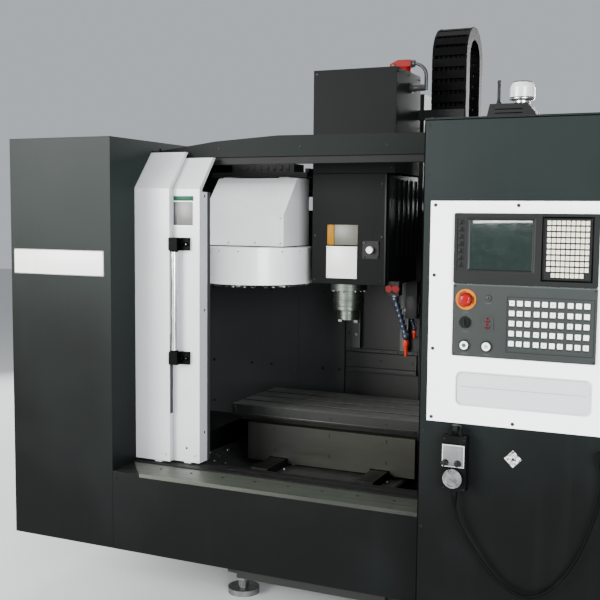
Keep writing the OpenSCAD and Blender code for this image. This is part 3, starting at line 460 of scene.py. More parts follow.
# Painted shade: the table's upright faces go near black, its top stays bright.
shade_upright_faces(table_steel, (0.0075, 0.0085, 0.0075))
dress(table_steel, "table", edge=1.0)


def slab(bm, x0, x1, y0, y1, z0, z1, edge=0.0, mat=0):
    """A plate between two corners in millimetres, with eased edges."""
    new = bmesh.ops.create_cube(bm, size=1.0)["verts"]
    size = Vector((x1 - x0, y1 - y0, z1 - z0)) / 1000.0
    mid = Vector((x1 + x0, y1 + y0, z1 + z0)) / 2000.0
    for v in new:
        v.co = mid + Vector(a * b for a, b in zip(v.co, size))
    faces = {f for v in new for f in v.link_faces}
    for f in faces:
        f.material_index = mat
    if edge:
        bmesh.ops.bevel(bm, geom=list({e for f in faces for e in f.edges}), offset=edge / 1000.0, segments=2,
                        affect="EDGES", profile=0.5)


def box_mm(node):
    """The lowest and the highest corner of a CAD node, in millimetres to a tenth."""
    low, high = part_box(node)
    return [round(1000.0 * c, 1) for c in (*low, *high)]


left, front, low, right, back, top = box_mm("table")
bm = bmesh.new()
for x in (left + 15, right - 15):
    slab(bm, x - 6, x + 6, front - 6, front, top - 35, top - 9, 1.5)
slab(bm, left + 78, right - 78, front - 5.5, front, top - 41, top - 35, 1.2)
screws(bm, [(x, front, top - 23) for x in (-250, -25, 200)], (0, -1, 0), 5, 3)
piece("table_front_rail", "table", bm, [table_steel])

# Guarding: folded 3 mm sheet with a fine textured charcoal-green coat. The panels meet in narrow
# seams and are held by small screws; the name plate on the left cabinet is left bare.
# Painted shade and light: near black at the foot, green-grey at the top.
charcoal = coated("charcoal_coat", (0.0014, 0.0016, 0.0016), (0.0085, 0.0125, 0.0115), 0.42, dust=0.3,
                  runs=0.012, skin=520, depth=0.10, haze=(0.08, 0.08, 0.076, 1), mirror=0.09)
inner_black = coated("inner_coat", (0.013, 0.0138, 0.0142), (0.021, 0.0228, 0.0235), 0.55, dust=0.5,
                     runs=0.05, skin=300, depth=0.12, haze=(0.06, 0.06, 0.058, 1), mirror=0.3)
seam_black = coated("seam_shadow", (0.0006, 0.0006, 0.0006), (0.0009, 0.0009, 0.0009), 0.85, dust=0.02,
                    runs=0.0, mirror=0.02)
bright_screw = metal("bright_screw", (0.62, 0.62, 0.61), (0.40, 0.40, 0.40), 0.3, (60.0, 60.0, 60.0))
dark_screw = metal("dark_screw", (0.03, 0.031, 0.031), (0.012, 0.012, 0.012), 0.45, (60.0, 60.0, 60.0))
beam_coat = coated("beam_coat", (0.0012, 0.0014, 0.0014), (0.0050, 0.0072, 0.0066), 0.5, dust=0.3,
                   runs=0.008, skin=520, depth=0.10, haze=(0.05, 0.05, 0.048, 1), mirror=0.06)
dress(beam_coat, "top_beam", edge=1.6)
dress(charcoal, "left_cabinet", "apron", "control_cabinet", "rear_cabinet", "rear_cabinet_door", edge=1.6)
dress(charcoal, "right_guard", edge=1.2)
dress(inner_black, "back_guard", "chip_tray", edge=0.8)
left, front, low, right, back, top = box_mm("nameplate")
rim = 2.8
bm = bmesh.new()
for x in (left, right - rim):
    slab(bm, x, x + rim, front - 0.8, front + 1.8, low, top, 0.6, 1)
for z in (low, top - rim):
    slab(bm, left, right, front - 0.8, front + 1.8, z, z + rim, 0.6, 1)
slab(bm, left + 3, right - 3, front - 0.5, front + 1.0, low + 3, top - 3, 0.3)
screws(bm, [(x, front - 0.4, z) for x in (left + 9, right - 9) for z in (low + 9, top - 9)],
       (0, -1, 0), 2.6, 1.2, 2)
plate_white = coated("plate_white", (0.70, 0.71, 0.68), (0.74, 0.76, 0.72), 0.32, dust=0.05, runs=0.12,
                     skin=900, depth=0.03, haze=(0.45, 0.44, 0.40, 1))
dress(plate_white, "nameplate", edge=0.3)
piece("nameplate_frame", "frame", bm, [plate_white, seam_black, bright_screw])
left, front, low, right, back, top = box_mm("left_cabinet")
bm = bmesh.new()
for z in (top - 52, low + 75):
    slab(bm, left - 0.4, left + 0.4, front + 40, back - 40, z, z + 2.4)
slab(bm, left - 0.4, left + 0.4, -206, -203.6, low + 77, top - 52)
screws(bm, [(left, y, z) for y in (-770, -226, -184, 360) for z in (350, 690, 1030, 1370, 1680)],
       (-1, 0, 0), 5, 2.4, 1)
screws(bm, [(x, back, z) for x in (-1100, -897, -694) for z in (285, 770, 1255, 1725)],
       (0, 1, 0), 5, 2.4, 1)
screws(bm, [(x, y, top) for x in (-1100, -694) for y in (-800, -205, 390)], (0, 0, 1), 5, 2.4, 1)
piece("left_cabinet_fixings", "frame", bm, [seam_black, dark_screw])
bm = bmesh.new()
apron_front, beam_front = box_mm("apron")[1], box_mm("top_beam")[1]
screws(bm, [(x, apron_front, z) for x in (-655, 511) for z in (275, 520)], (0, -1, 0), 4.5, 2.2, 1)
screws(bm, [(x, beam_front, 1722) for x in (-655, -400, -72, 256, 510)], (0, -1, 0), 5, 2.4, 1)
piece("apron_and_beam_fixings", "frame", bm, [seam_black, dark_screw])

# Threshold: one brushed stainless sheet folded over the apron, mitred at the left end, with the
# door rail behind it. It is scuffed and streaked along its length; its upright faces carry painted shade,
# and it grows lighter towards the left end.
stainless = metal("threshold_stainless", (0.058, 0.069, 0.054), (0.028, 0.034, 0.026), 0.45,
                  (2.0, 90.0, 90.0), 0.14, 0.35)
black_channel = coated("rail_coat", (0.0035, 0.0038, 0.0037), (0.006, 0.0066, 0.0064), 0.5, dust=0.25,
                       skin=300, depth=0.1, haze=(0.05, 0.05, 0.046, 1), mirror=0.1)
# Painted shade: the sheet's upright faces are darker than its top.
tree, shader, front_face = shade_upright_faces(stainless, (0.014, 0.0165, 0.0125))
# The sheet grows lighter towards its left end.
across = add(tree, "SeparateXYZ", {0: add(tree, "TexCoord").outputs["Object"]}).outputs["X"]
lighter_to_left = add(tree, "MapRange", {"Value": across, "From Min": 0.1, "From Max": -0.7, "To Max": 0.75}).outputs[0]
tree.links.new(add(tree, "Mix", {0: lighter_to_left, 6: front_face, 7: (0.085, 0.095, 0.072, 1)},
                   data_type="RGBA").outputs[2], shader.inputs["Base Color"])
dress(stainless, "sill_plate", edge=0.6)
dress(black_channel, "door_tracks", edge=0.6)
bm = bmesh.new()
sill_top = box_mm("sill_plate")[5]
screws(bm, [(x, -742, sill_top) for x in range(-520, 520, 128)], (0, 0, 1), 5, 1.6)
piece("threshold_screws", "frame", bm, [dark_screw])

# Chip space: sheet trays under fine steel turnings, which lie as they fell, in a fixed random order.
# The back sheets hang on rows of dark pan head screws.


def skin_over(bm, rings, ends=True):
    """Joins rings of points, each with as many points, and closes the first and the last."""
    count = len(rings[0])
    for low, high in zip(rings, rings[1:]):
        for n in range(count):
            bm.faces.new((low[n], low[(n + 1) % count], high[(n + 1) % count], high[n]))
    if ends:
        bm.faces.new(rings[0][::-1])
        bm.faces.new(rings[-1])


random.seed(5)
bm = bmesh.new()
for k in range(260):
    x, y = random.uniform(-660, 515), random.uniform(-535, 235)
    if abs(x + 25) < 318:
        y = random.uniform(-560, -530)
    z = 470 - (y + 547) * 0.0373 if y > -547 else 470 + (-547 - y) * 1.27
    turn, r = random.uniform(0, 6.28), random.uniform(2.0, 4.5)
    curl = []
    for s in range(7):
        along, aside = s * 2.2, r * math.cos(s * 1.9)
        curl.append(Vector((x + math.cos(turn) * along - math.sin(turn) * aside,
                            y + math.sin(turn) * along + math.cos(turn) * aside,
                            z + 4.4 + r * math.sin(s * 1.9))))
    lane = Vector((math.cos(turn), math.sin(turn), 0.2)) * 1.3
    thin = Vector((0.0, 0.0, 0.2))
    skin_over(bm, [[bm.verts.new((c + a * lane + b * thin) / 1000.0)
                    for a, b in ((-1, -1), (1, -1), (1, 1), (-1, 1))] for c in curl])
turning_steel = metal("turnings", (0.26, 0.25, 0.24), (0.10, 0.095, 0.09), 0.42, (300.0, 300.0, 300.0))
piece("turnings", "frame", bm, [turning_steel])
bm = bmesh.new()
for x, z in [(x, z) for x in (-1060, -860, -660, -560, -300, -222, 175, 300, 425, 700, 960)
             for z in (600, 795, 1140, 1460)]:
    turned(bm, (x, 258, z), (0, -1, 0),
           [(0, 3.4), (2.2, 3.3), (2.5, 4.2), (5.6, 3.6), (6.6, 1.6), (6.6, 0.1)], 18)
piece("back_sheet_screws", "frame", bm, [dark_screw])

# Door leaves: white coated sheet with canted tops, which run on the rail below and in the channel
# above. A rubber seal closes the front leaf's edge, and dark plugs close the holes in its return.
door_white = coated("door_white", (0.425, 0.437, 0.441), (0.488, 0.497, 0.501), 0.34, dust=0.12, runs=0.10,
                    skin=480, depth=0.07, gloss=0.2, haze=(0.36, 0.36, 0.34, 1))
dress(door_white, "door_rear_leaf", "door_front_leaf", edge=1.2)
rubber = coated("seal_rubber", (0.010, 0.010, 0.011), (0.016, 0.016, 0.017), 0.6, dust=0.3, skin=700,
                depth=0.2)
dress(rubber, "door_seal", edge=1.5)
hole_black = coated("hole_plug", (0.002, 0.002, 0.002), (0.003, 0.003, 0.003), 0.5, dust=0.0, runs=0.0,
                    mirror=0.1)
bm = bmesh.new()
for z in (668, 1126, 1545):
    turned(bm, (-419.4, -606, z), (1, 0, 0), [(0, 2.0), (4.6, 1.9), (5.2, 2.8), (7.4, 2.2), (7.8, 0.3)], 24)
for x in (-470, -980):
    turned(bm, (x, -644, 610), (0, -1, 0), [(0, 0.6), (3.4, 0.9), (4.4, 0.5), (4.8, 0.0)], 16)
piece("door_hole_plugs", "front_leaf", bm, [hole_black])
bm = bmesh.new()
screws(bm, [(-448, -587.6, z) for z in range(600, 1560, 134)], (0, 1, 0), 4, 2)
screws(bm, [(x, -644, 584) for x in (-1022, -434)], (0, -1, 0), 4, 2)
piece("front_leaf_screws", "front_leaf", bm, [bright_screw])
bm = bmesh.new()
screws(bm, [(x, -670, 584) for x in (-1088, -545)], (0, -1, 0), 4, 2)
for z in (1248, 1296):
    slab(bm, -1010, -960, -672.5, -670.2, z, z + 30, 1.0)
piece("rear_leaf_screws", "rear_leaf", bm, [bright_screw])
# A thin black strip along the rear leaf's right edge, where the two leaves overlap.
bm = bmesh.new()
slab(bm, -527.1, -524.4, -669, -651, 740, 1037, 0.6)
piece("rear_leaf_black_strip", "rear_leaf", bm, [rubber])

# Handle: satin aluminium tube held in two black angle brackets, each with two cap screws. The small
# plate above it is left bare under its green header band.
bracket_black = coated("bracket_black", (0.0008, 0.0008, 0.0009), (0.0013, 0.0013, 0.0014), 0.5, dust=0.05,
                       runs=0.0, skin=600, depth=0.12, haze=(0.02, 0.02, 0.02, 1), mirror=0.04)
satin = metal("satin_aluminium", (0.66, 0.67, 0.67), (0.50, 0.51, 0.51), 0.18, (160.0, 160.0, 3.0), 0.03)
dress(satin, "door_handle", edge=1.2)


def extruded(bm, outline, place, depth):
    """An outline drawn out by a depth; place() gives the frame's millimetres."""
    near = [bm.verts.new(Vector(place(u, v, 0.0)) / 1000.0) for u, v in outline]
    far = [bm.verts.new(Vector(place(u, v, depth)) / 1000.0) for u, v in outline]
    n = len(outline)
    bm.faces.new(near)
    bm.faces.new(far[::-1])
    for k in range(n):
        bm.faces.new((near[k], near[(k + 1) % n], far[(k + 1) % n], far[k]))


left, front, low, right, back, top = box_mm("door_handle")
bm = bmesh.new()
for side in (-1, 1):
    z = (low + top) / 2 + side * 210
    outline = [(-523.4, -683.4), (-487.6, -683.4), (-487.6, -656.4), (-453.6, -656.4), (-453.6, -644.2),
               (-523.4, -644.2)]
    extruded(bm, outline, lambda u, v, w, z=z: (u, v, z - 23.4 + w), 46.8)
    bmesh.ops.bevel(bm, geom=[e for e in bm.edges if e.calc_face_angle(0) > 1.0 and
                              abs(e.verts[0].co.z - z / 1000) < 0.03 and e.calc_length() > 0.01],
                    offset=0.0016, segments=2, affect="EDGES")
    screws(bm, [(x, -656.6, z) for x in (-480, -463)], (0, -1, 0), 7.4, 9.4, 1)
    turned(bm, (-508, -668, z - side * 23.2), (0, 0, -side),
           [(13.2, 0), (15.0, 0), (15.2, 1.0), (15.2, 4.0), (14.4, 5.6), (13.2, 6)])
piece("handle_brackets", "front_leaf", bm, [bracket_black, seam_black])
dress(plate_white, "door_plate", edge=0.3)
label_grey = coated("label_grey", (0.055, 0.058, 0.055), (0.085, 0.09, 0.084), 0.4, dust=0.02, runs=0.02,
                    haze=(0.2, 0.2, 0.2, 1))
label_dark = coated("label_dark", (0.016, 0.018, 0.017), (0.024, 0.026, 0.025), 0.4, dust=0.02, runs=0.0)
label_green = coated("label_green", (0.0006, 0.040, 0.018), (0.001, 0.055, 0.026), 0.4, dust=0.0, runs=0.0,
                     mirror=0.1)
left, front, low, right, back, top = box_mm("door_plate")
bm = bmesh.new()
slab(bm, left, right, front - 0.6, front, top - 18, top, 0.2, 1)
slab(bm, left + 14, right - 2, front - 0.4, front, low + 4, top - 21, 0.2)
slab(bm, left, left + 14, front - 0.4, front, low + 4, top - 21, 0.2, 2)
piece("door_plate_fields", "front_leaf", bm, [label_grey, label_green, label_dark])

# Tool magazine: white sheet housing and drum cover on a black arm, two drive boxes above, and a
# hardened disc with twelve pairs of black gripper fingers.
magazine_white = coated("magazine_white", (0.82, 0.825, 0.82), (0.86, 0.865, 0.86), 0.30, dust=0.18,
                        runs=0.12, skin=480, depth=0.06, gloss=0.3, haze=(0.33, 0.32, 0.30, 1))
black_coat = coated("black_coat", (0.0050, 0.0050, 0.0052), (0.0068, 0.0068, 0.0071), 0.45, dust=0.35,
                    runs=0.02, skin=420, depth=0.12, haze=(0.05, 0.05, 0.048, 1), mirror=0.14)
gripper_steel = coated("gripper_blacking", (0.014, 0.014, 0.016), (0.02, 0.02, 0.022), 0.28, dust=0.2,
                       skin=900, depth=0.05)
disc_steel = metal("disc_steel", (0.20, 0.20, 0.195), (0.10, 0.10, 0.10), 0.36, (90.0, 90.0, 3.0))


def middle(node):
    """The middle of a CAD node's box, in millimetres to a tenth."""
    corners = box_mm(node)
    return [round((a + b) / 2, 1) for a, b in zip(corners[:3], corners[3:])]


disc_x, disc_y, _ = middle("tool_disc")
dress(magazine_white, "magazine_housing", "magazine_cover", edge=1.2)
dress(black_coat, "magazine_arm", "roof_unit", "head_side_guard", edge=1.5)
dress(gripper_steel, "tool_grippers", edge=1.2)
dress(disc_steel, "tool_disc", edge=1.0)
left, front, low, right, back, top = box_mm("magazine_housing")
bm = bmesh.new()
slab(bm, left - 1, right + 1, front - 1.5, back + 1, low - 0.4, low + 3.6, 0.8)
for k in range(9):
    slab(bm, -560 + k * 31, -548 + k * 31, -119.4, -18, 1658, 1681, 1.0)
turned(bm, (-460, 25, 1652), (0, 0, 1),
       [(0, 36), (26, 36), (30, 34), (31, 30), (31, 4), (34, 2), (34, 0)], 40)
slab(bm, -240, -222.3, -100, 240, 1652, 1668, 1.5)
piece("magazine_black_parts", "frame", bm, [black_coat])
bm = bmesh.new()
screws(bm, [(x, front, z) for x in (left + 12, right - 12) for z in (low + 16, low + 116)],
       (0, -1, 0), 4, 2)
screws(bm, [(x, front, low + 16) for x in (left + 120, left + 240)], (0, -1, 0), 4, 2)
for k in range(16):
    a = math.radians(k * 22.5 + 8)
    screws(bm, [(disc_x + 225 * math.cos(a), disc_y + 225 * math.sin(a), 1336)],
           (math.cos(a), math.sin(a), 0), 3.6, 1.8)
piece("magazine_screws", "magazine", bm, [bright_screw])
bm = bmesh.new()
for k in range(12):
    a = math.radians(k * 30)
    for side in (-26, 26):
        x, y = 160 * math.cos(a) - side * math.sin(a), 160 * math.sin(a) + side * math.cos(a)
        turned(bm, (disc_x + x, disc_y + y, 1195), (0, 0, -1),
               [(0, 3.4), (3.0, 3.4), (3.1, 5.0), (6.0, 5.2), (6.6, 4.4), (6.6, 0)], 14)
turned(bm, (disc_x, disc_y, 1217), (0, 0, -1),
       [(0, 8), (20, 8), (22, 6), (22, 3), (46, 3), (48, 1), (48, 0)], 40, 1)
for k in range(6):
    a = math.radians(k * 60)
    screws(bm, [(disc_x + 36 * math.cos(a), disc_y + 36 * math.sin(a), 1214)], (0, 0, -1), 4.5, 4)
piece("disc_hub_and_screws", "disc", bm, [bright_screw, disc_steel])

# Head: folded charcoal cover round the casting, bare plates on its front, and the white tool
# release button on a screwed square base. A lighter strip down its right corner is a painted highlight of
# the fold.
head_coat = coated("head_coat", (0.0030, 0.0031, 0.0031), (0.0056, 0.0066, 0.0062), 0.45, dust=0.3,
                   runs=0.008, skin=520, depth=0.10, haze=(0.06, 0.06, 0.057, 1), mirror=0.04)
dress(head_coat, "head_cover", edge=1.4)
dress(black_coat, "head_plates", edge=0.4)
button_white = coated("button_white", (0.74, 0.74, 0.72), (0.78, 0.78, 0.76), 0.25, dust=0.05, runs=0.1,
                      skin=900, depth=0.02)
dress(button_white, "clamp_button", edge=1.8)
plate_yellow = coated("plate_yellow", (0.24, 0.108, 0.0006), (0.30, 0.135, 0.0008), 0.4, dust=0.0, runs=0.0,
                      mirror=0.1)
plate_grey = coated("plate_grey", (0.060, 0.064, 0.048), (0.080, 0.084, 0.064), 0.4, dust=0.04, runs=0.03)
bm = bmesh.new()
slab(bm, -88, -60, -221.9, -221.4, 1366, 1443, 0.2)
slab(bm, -58, 38, -221.9, -221.4, 1366, 1443, 0.2, 1)
slab(bm, -91, 36, -221.9, -221.4, 1236, 1360, 0.2, 2)
screws(bm, [(x, -221.6, z) for x in (-85, 30) for z in (1242, 1354)], (0, -1, 0), 2.2, 1.0, 3)
screws(bm, [(x, -221.6, z) for x in (-84, 34) for z in (1370, 1439)], (0, -1, 0), 2.0, 0.9, 3)
piece("head_plate_fields", "head", bm, [plate_yellow, plate_grey, plate_white, dark_screw])
bm = bmesh.new()
button_x, _, button_z = middle("clamp_button")
turned(bm, (button_x, -224, button_z), (0, -1, 0),
       [(12.7, 0), (16.4, 0), (16.4, 0.3), (15.2, 0.7), (12.7, 0.7)], 36, 2)
screws(bm, [(button_x - 1 + a * 26, -226.6, button_z + b * 27) for a in (-1, 1) for b in (-1, 1)],
       (0, -1, 0), 4.6, 1.6, 2)
left, _, low, right, back, top = box_mm("head_cover")
sheet = box_mm("head_plates")[4]
for x in (left + 13, right - 50):
    screws(bm, [(x, sheet, z) for z in (1230, 1400, 1600)], (0, -1, 0), 3.6, 2, 1)
for x in (left + 13, right - 14):
    screws(bm, [(x, sheet, z) for z in (1660, 1830, 2020)], (0, -1, 0), 3.6, 2, 1)
screws(bm, [(right, y, z) for y in (-200, -70, 64) for z in (1660, 1830, 2020)], (1, 0, 0), 3.6, 2, 1)
screws(bm, [(left, y, z) for y in (-200, -60) for z in (1230, 1400, 1560)], (-1, 0, 0), 3.6, 2, 1)
piece("head_screws", "head", bm, [bright_screw, dark_screw, dark_screw])
bm = bmesh.new()
slab(bm, left - 0.3, right + 0.3, sheet - 0.4, sheet + 0.3, 1639, 1641.4)
slab(bm, right - 0.3, right + 0.4, sheet - 0.4, back, 1639, 1641.4)
# Painted highlight: a lighter strip down the cover's right corner.
slab(bm, 147.0, 153.6, -224.8, -223.9, 1216, 1637, 0.2, 1)
edge_highlight_paint = coated("painted_edge_highlight", (0.010, 0.012, 0.0115), (0.014, 0.017, 0.016), 0.4, dust=0.1, mirror=0.1)
piece("head_cover_seams", "head", bm, [seam_black, edge_highlight_paint])

# Spindle: turned and ground steel. The housing ring carries cap screws, the nose has two drive keys
# and an open taper.
ground_round = metal("turned_steel", (0.158, 0.178, 0.153), (0.075, 0.087, 0.075), 0.38,
                     (3.0, 3.0, 420.0), 0.08)
spindle_x, spindle_y, _ = middle("spindle")
dress(ground_round, "spindle_housing", "spindle", edge=1.2)
bm = bmesh.new()
for k in range(8):
    a = math.radians(k * 45)
    screws(bm, [(spindle_x + 65 * math.cos(a), spindle_y + 65 * math.sin(a), 1186)], (0, 0, -1), 5.0, 5.0)
turned(bm, (spindle_x, spindle_y, 1140), (0, 0, -1),
       [(60.2, -8), (62.5, -7), (62.5, -1), (60.2, 0), (60.2, 12), (61.6, 13), (61.6, 15),
        (60.2, 16)], 64, 1)
turned(bm, (spindle_x, spindle_y, 1112), (0, 0, -1),
       [(40.6, -0.4), (58.4, -0.4), (58.4, 3.0), (56.5, 4.8), (46.4, 4.8), (46.4, 0.6)], 64, 1)
piece("spindle_nose_ring", "head", bm, [bright_screw, ground_round])
bm = bmesh.new()
for side in (-1, 1):
    screws(bm, [(spindle_x + side * 34, spindle_y, 1058)], (0, 0, -1), 3.4, 1.0)
turned(bm, (spindle_x, spindle_y, 1070), (0, 0, -1),
       [(28.0, -0.6), (28.0, 0.5), (23.4, 0.5), (22.6, -0.6)], 48, 1)
turned(bm, (spindle_x, spindle_y, 1090), (0, 0, -1),
       [(44.1, -1), (44.7, 0), (44.7, 3), (44.1, 4), (44.1, 8), (44.7, 9), (44.7, 12), (44.1, 13)], 64, 1)
piece("spindle_rings", "spindle", bm, [bright_screw, ground_round])

# Coolant: black coated block with a red valve handle, and two jointed plastic hoses that snap together
# ball in socket, each ending in a tapered orange nozzle.
hose_blue = coated("hose_plastic", (0.010, 0.014, 0.030), (0.016, 0.022, 0.045), 0.32, dust=0.2, skin=900,
                   depth=0.05)
nozzle_orange = coated("nozzle_plastic", (0.34, 0.020, 0.005), (0.44, 0.028, 0.007), 0.4, dust=0.0,
                       runs=0.0, skin=900, depth=0.05, mirror=0.2)
signal_red = coated("signal_red", (0.100, 0.0006, 0.0009), (0.140, 0.0009, 0.0013), 0.4, dust=0.0, runs=0.0,
                    skin=900, depth=0.04, mirror=0.12)
dress(black_coat, "coolant_block", edge=1.5)
dress(signal_red, "coolant_valve", edge=1.2)
valve_x, _, valve_z = middle("coolant_valve")
for name, start, stop, count, r, ball, tip in (
        ("coolant_hose_front", (183, -186, 1161.8), (232, -196, 1022), 7, 12.5, 14,
         (232, -196, 944, 6, 12, 63.8)),
        ("coolant_hose_rear", (173, 64, 1053.8), (184, 60, 1024), 3, 8, 9, (184, 60, 981, 5, 9, 33.8))):
    run = Vector(stop) - Vector(start)
    pitch_mm = run.length / count
    outline = [(0, -ball)]
    outline += [(ball * math.sin(math.radians(a)), -ball * math.cos(math.radians(a)))
                for a in range(20, 141, 15)]
    for k in range(1, count):
        h = k * pitch_mm
        outline += [(r * 0.66, h - 0.5), (r * 0.96, h), (r, h + 1.2), (r * 0.98, h + pitch_mm * 0.30),
                    (r * 0.84, h + pitch_mm * 0.52), (r * 0.66, h + pitch_mm * 0.70)]
    outline = outline[:-3]
    outline += [(ball * math.sin(math.radians(a)), run.length - ball * math.cos(math.radians(a)))
                for a in range(50, 171, 15)]
    outline += [(0, run.length + ball)]
    bm = bmesh.new()
    turned(bm, start, run, outline, 28)
    x, y, z, r0, r1, long = tip
    turned(bm, (x, y, z), (0, 0, 1),
           [(r0 * 0.55, long * 0.5), (r0 * 0.55, 0.3), (r0 - 0.6, 0), (r0, 0.8), (r0 + 0.8, long * 0.35),
            (r1 - 1.6, long * 0.62), (r1, long * 0.66), (r1, long * 0.9), (r1 - 1.2, long),
            (0, long)], 28, 1)
    for k in range(6):
        a = math.radians(k * 60)
        cx, cy = x + (r1 - 0.4) * math.cos(a), y + (r1 - 0.4) * math.sin(a)
        slab(bm, cx - 0.9, cx + 0.9, cy - 0.9, cy + 0.9, z + long * 0.68, z + long * 0.88, 0.3, 1)
    piece(name, "head", bm, [hose_blue, nozzle_orange],
          stands_for=("coolant_hoses",) if name.endswith("front") else ())
bm = bmesh.new()
turned(bm, (valve_x, -227, valve_z), (0, -1, 0),
       [(0, -0.6), (5.0, -0.4), (5.6, -1.6), (9.5, -2.0), (9.5, -8)], 6)
screws(bm, [(x, -206, z) for x in (165, 197) for z in (1182, 1224)], (0, -1, 0), 3.0, 2.4)
turned(bm, (183, -186, 1176), (0, 0, -1),
       [(9, -1), (15, -1), (15, 2.4), (14.6, 5.0), (14.2, 6.4), (9, 6.4)], 32, 1)
slab(bm, 149.4, 197.6, 43.4, 84.6, 1062.6, 1156, 1.2, 2)
screws(bm, [(x, 43.6, z) for x in (157, 190) for z in (1072, 1146)], (0, -1, 0), 3.0, 2.2)
block_grey = coated("block_grey", (0.010, 0.010, 0.012), (0.014, 0.014, 0.017), 0.45, dust=0.2,
                    haze=(0.05, 0.05, 0.05, 1), mirror=0.2)
piece("coolant_fittings", "head", bm, [dark_screw, zinc, block_grey])

# Energy chain: black nylon links with six hoses inside, in one bend beside the column.
chain_nylon = coated("chain_nylon", (0.0012, 0.0012, 0.0013), (0.0018, 0.0018, 0.002), 0.5, dust=0.1,
                     runs=0.01, skin=350, depth=0.2, haze=(0.02, 0.02, 0.019, 1), mirror=0.025)
dress(chain_nylon, "energy_chain", edge=1.0)
chain_low, chain_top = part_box("energy_chain")
bend_y, bend_z = (chain_low[1] + chain_top[1]) / 2, 2.105
short_leg_end, long_leg_end = 1.832, 1.510
hose_r, hose_bend, hose_pitch, hose_sides = 0.0098, 0.101, 0.0198, 12
bm = bmesh.new()
for k in range(6):
    x = (chain_low[0] + chain_top[0]) / 2 + (k - 2.5) * hose_pitch
    centres = [(bend_y - hose_bend, short_leg_end, 180.0)]
    for a in range(180, -1, -12):
        centres.append((bend_y + hose_bend * math.cos(math.radians(a)),
                        bend_z + hose_bend * math.sin(math.radians(a)), a))
    centres += [(bend_y + hose_bend, long_leg_end, 0.0)]
    rings = []
    for y, z, a in centres:
        out = Vector((0.0, math.cos(math.radians(a)), math.sin(math.radians(a))))
        rings.append([])
        for t in (2 * math.pi * n / hose_sides for n in range(hose_sides)):
            aside = Vector((math.cos(t), 0.0, 0.0)) + math.sin(t) * out
            rings[-1].append(bm.verts.new(Vector((x, y, z)) + hose_r * aside))
    skin_over(bm, rings)
hoses = piece("chain_hoses", None, bm, [chain_nylon])
plain_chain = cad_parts["energy_chain"]
eased_chain = plain_chain.evaluated_get(bpy.context.evaluated_depsgraph_get())
links = bpy.data.objects.new("chain_links", bpy.data.meshes.new_from_object(eased_chain))
links.matrix_world = plain_chain.matrix_world
bpy.context.scene.collection.objects.link(links)
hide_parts("energy_chain")
for part in (links, hoses):
    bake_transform(part)

# Plug on the head's roof: moulded red housing with a latch and a black cable gland, and the black
# cable that bends down from it to the second gland on the head's side.
cable_black = coated("plug_cable", (0.010, 0.010, 0.011), (0.015, 0.015, 0.016), 0.45, dust=0.3, skin=900,
                     depth=0.12)
plug_y, bend_x, bend_top, bend_r = -0.05, 0.196, 2.068, 0.05
bm = bmesh.new()
turned(bm, (150, -50, 2035), (0, 0, 1),
       [(0, 0), (34.3, 0), (34.3, 4), (32.6, 6), (32.6, 15), (31.0, 19), (27, 20.4), (0, 20.4)], 40)
extruded(bm, [(103.6, 2055), (188, 2055), (188, 2079), (186, 2081.4), (135, 2081.4), (105.4, 2068.2),
              (103.6, 2065)], lambda u, v, w: (u, -70.4 + w, v), 40.8)
slab(bm, 112, 126, -73, -27, 2057, 2068, 1.6, 1)
slab(bm, 136, 172, -60, -40, 2080.6, 2084, 1.4, 1)
turned(bm, (186, -50, 2068), (1, 0, 0),
       [(0, 0), (15, 0), (15.4, 1.5), (15.4, 8), (13.5, 10), (13.5, 14), (7.2, 17)], 12, 1)
turned(bm, (184, -50, 1975), (1, 0, 0),
       [(0, -0.4), (19, -0.4), (19.4, 1.2), (19.4, 6), (14.6, 7.5), (14.6, 22), (13.2, 24), (13.2, 58),
        (8.0, 62), (0, 62)], 28, 1)
piece("plug_housing", "head", bm, [signal_red, cable_black], stands_for=("motor_connector",))
bend = bpy.data.curves.new("plug_cable_bend", "CURVE")
bend.dimensions = "3D"
bend.bevel_depth = 0.0069
bend.bevel_resolution = 5
bend.use_fill_caps = True
path = [(bend_x - 0.01, plug_y, bend_top)]
path += [(bend_x + bend_r * math.sin(math.radians(a)), plug_y,
          bend_top - bend_r * (1 - math.cos(math.radians(a)))) for a in range(0, 91, 10)]
path += [(bend_x + bend_r, plug_y, 1.985), (bend_x + bend_r, plug_y, 1.965)]
spline = bend.splines.new("POLY")
spline.points.add(len(path) - 1)
for knot, point in zip(spline.points, path):
    knot.co = (*point, 1.0)
bend.materials.append(cable_black)
plug_cable = bpy.data.objects.new("plug_cable_bend", bend)
bpy.context.scene.collection.objects.link(plug_cable)
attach(plug_cable, "head")
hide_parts("motor_connector")

# Control cabinet: textured charcoal sheet with a white front sheet on ten small screws. The recess of
# the lower field has a light grey band; the diamond plate and the pendant's hook sit below it.
panel_white = coated("panel_white", (0.93, 0.935, 0.93), (0.95, 0.955, 0.95), 0.28, dust=0.03, runs=0.02,
                     skin=520, depth=0.05, gloss=0.25, haze=(0.40, 0.40, 0.38, 1))
recess_grey = coated("recess_grey", (0.44, 0.45, 0.46), (0.50, 0.51, 0.52), 0.35, dust=0.06, skin=520,
                     depth=0.05)
screw_grey = coated("panel_screw", (0.010, 0.010, 0.010), (0.014, 0.014, 0.014), 0.5, dust=0.0, runs=0.0,
                    mirror=0.08)
dress(panel_white, "white_panel", edge=0.8)
front = box_mm("screen_unit")[4]  # the white sheet's front, where the bezel's back lies
bm = bmesh.new()
corners = []
for cx, cz, start in ((1000, 1017.5, 0), (654, 1017.5, 90), (654, 952.5, 180), (1000, 952.5, 270)):
    for k in range(7):
        a = math.radians(start + k * 15)
        corners.append((cx + 18 * math.cos(a), cz + 18 * math.sin(a)))
rings = []
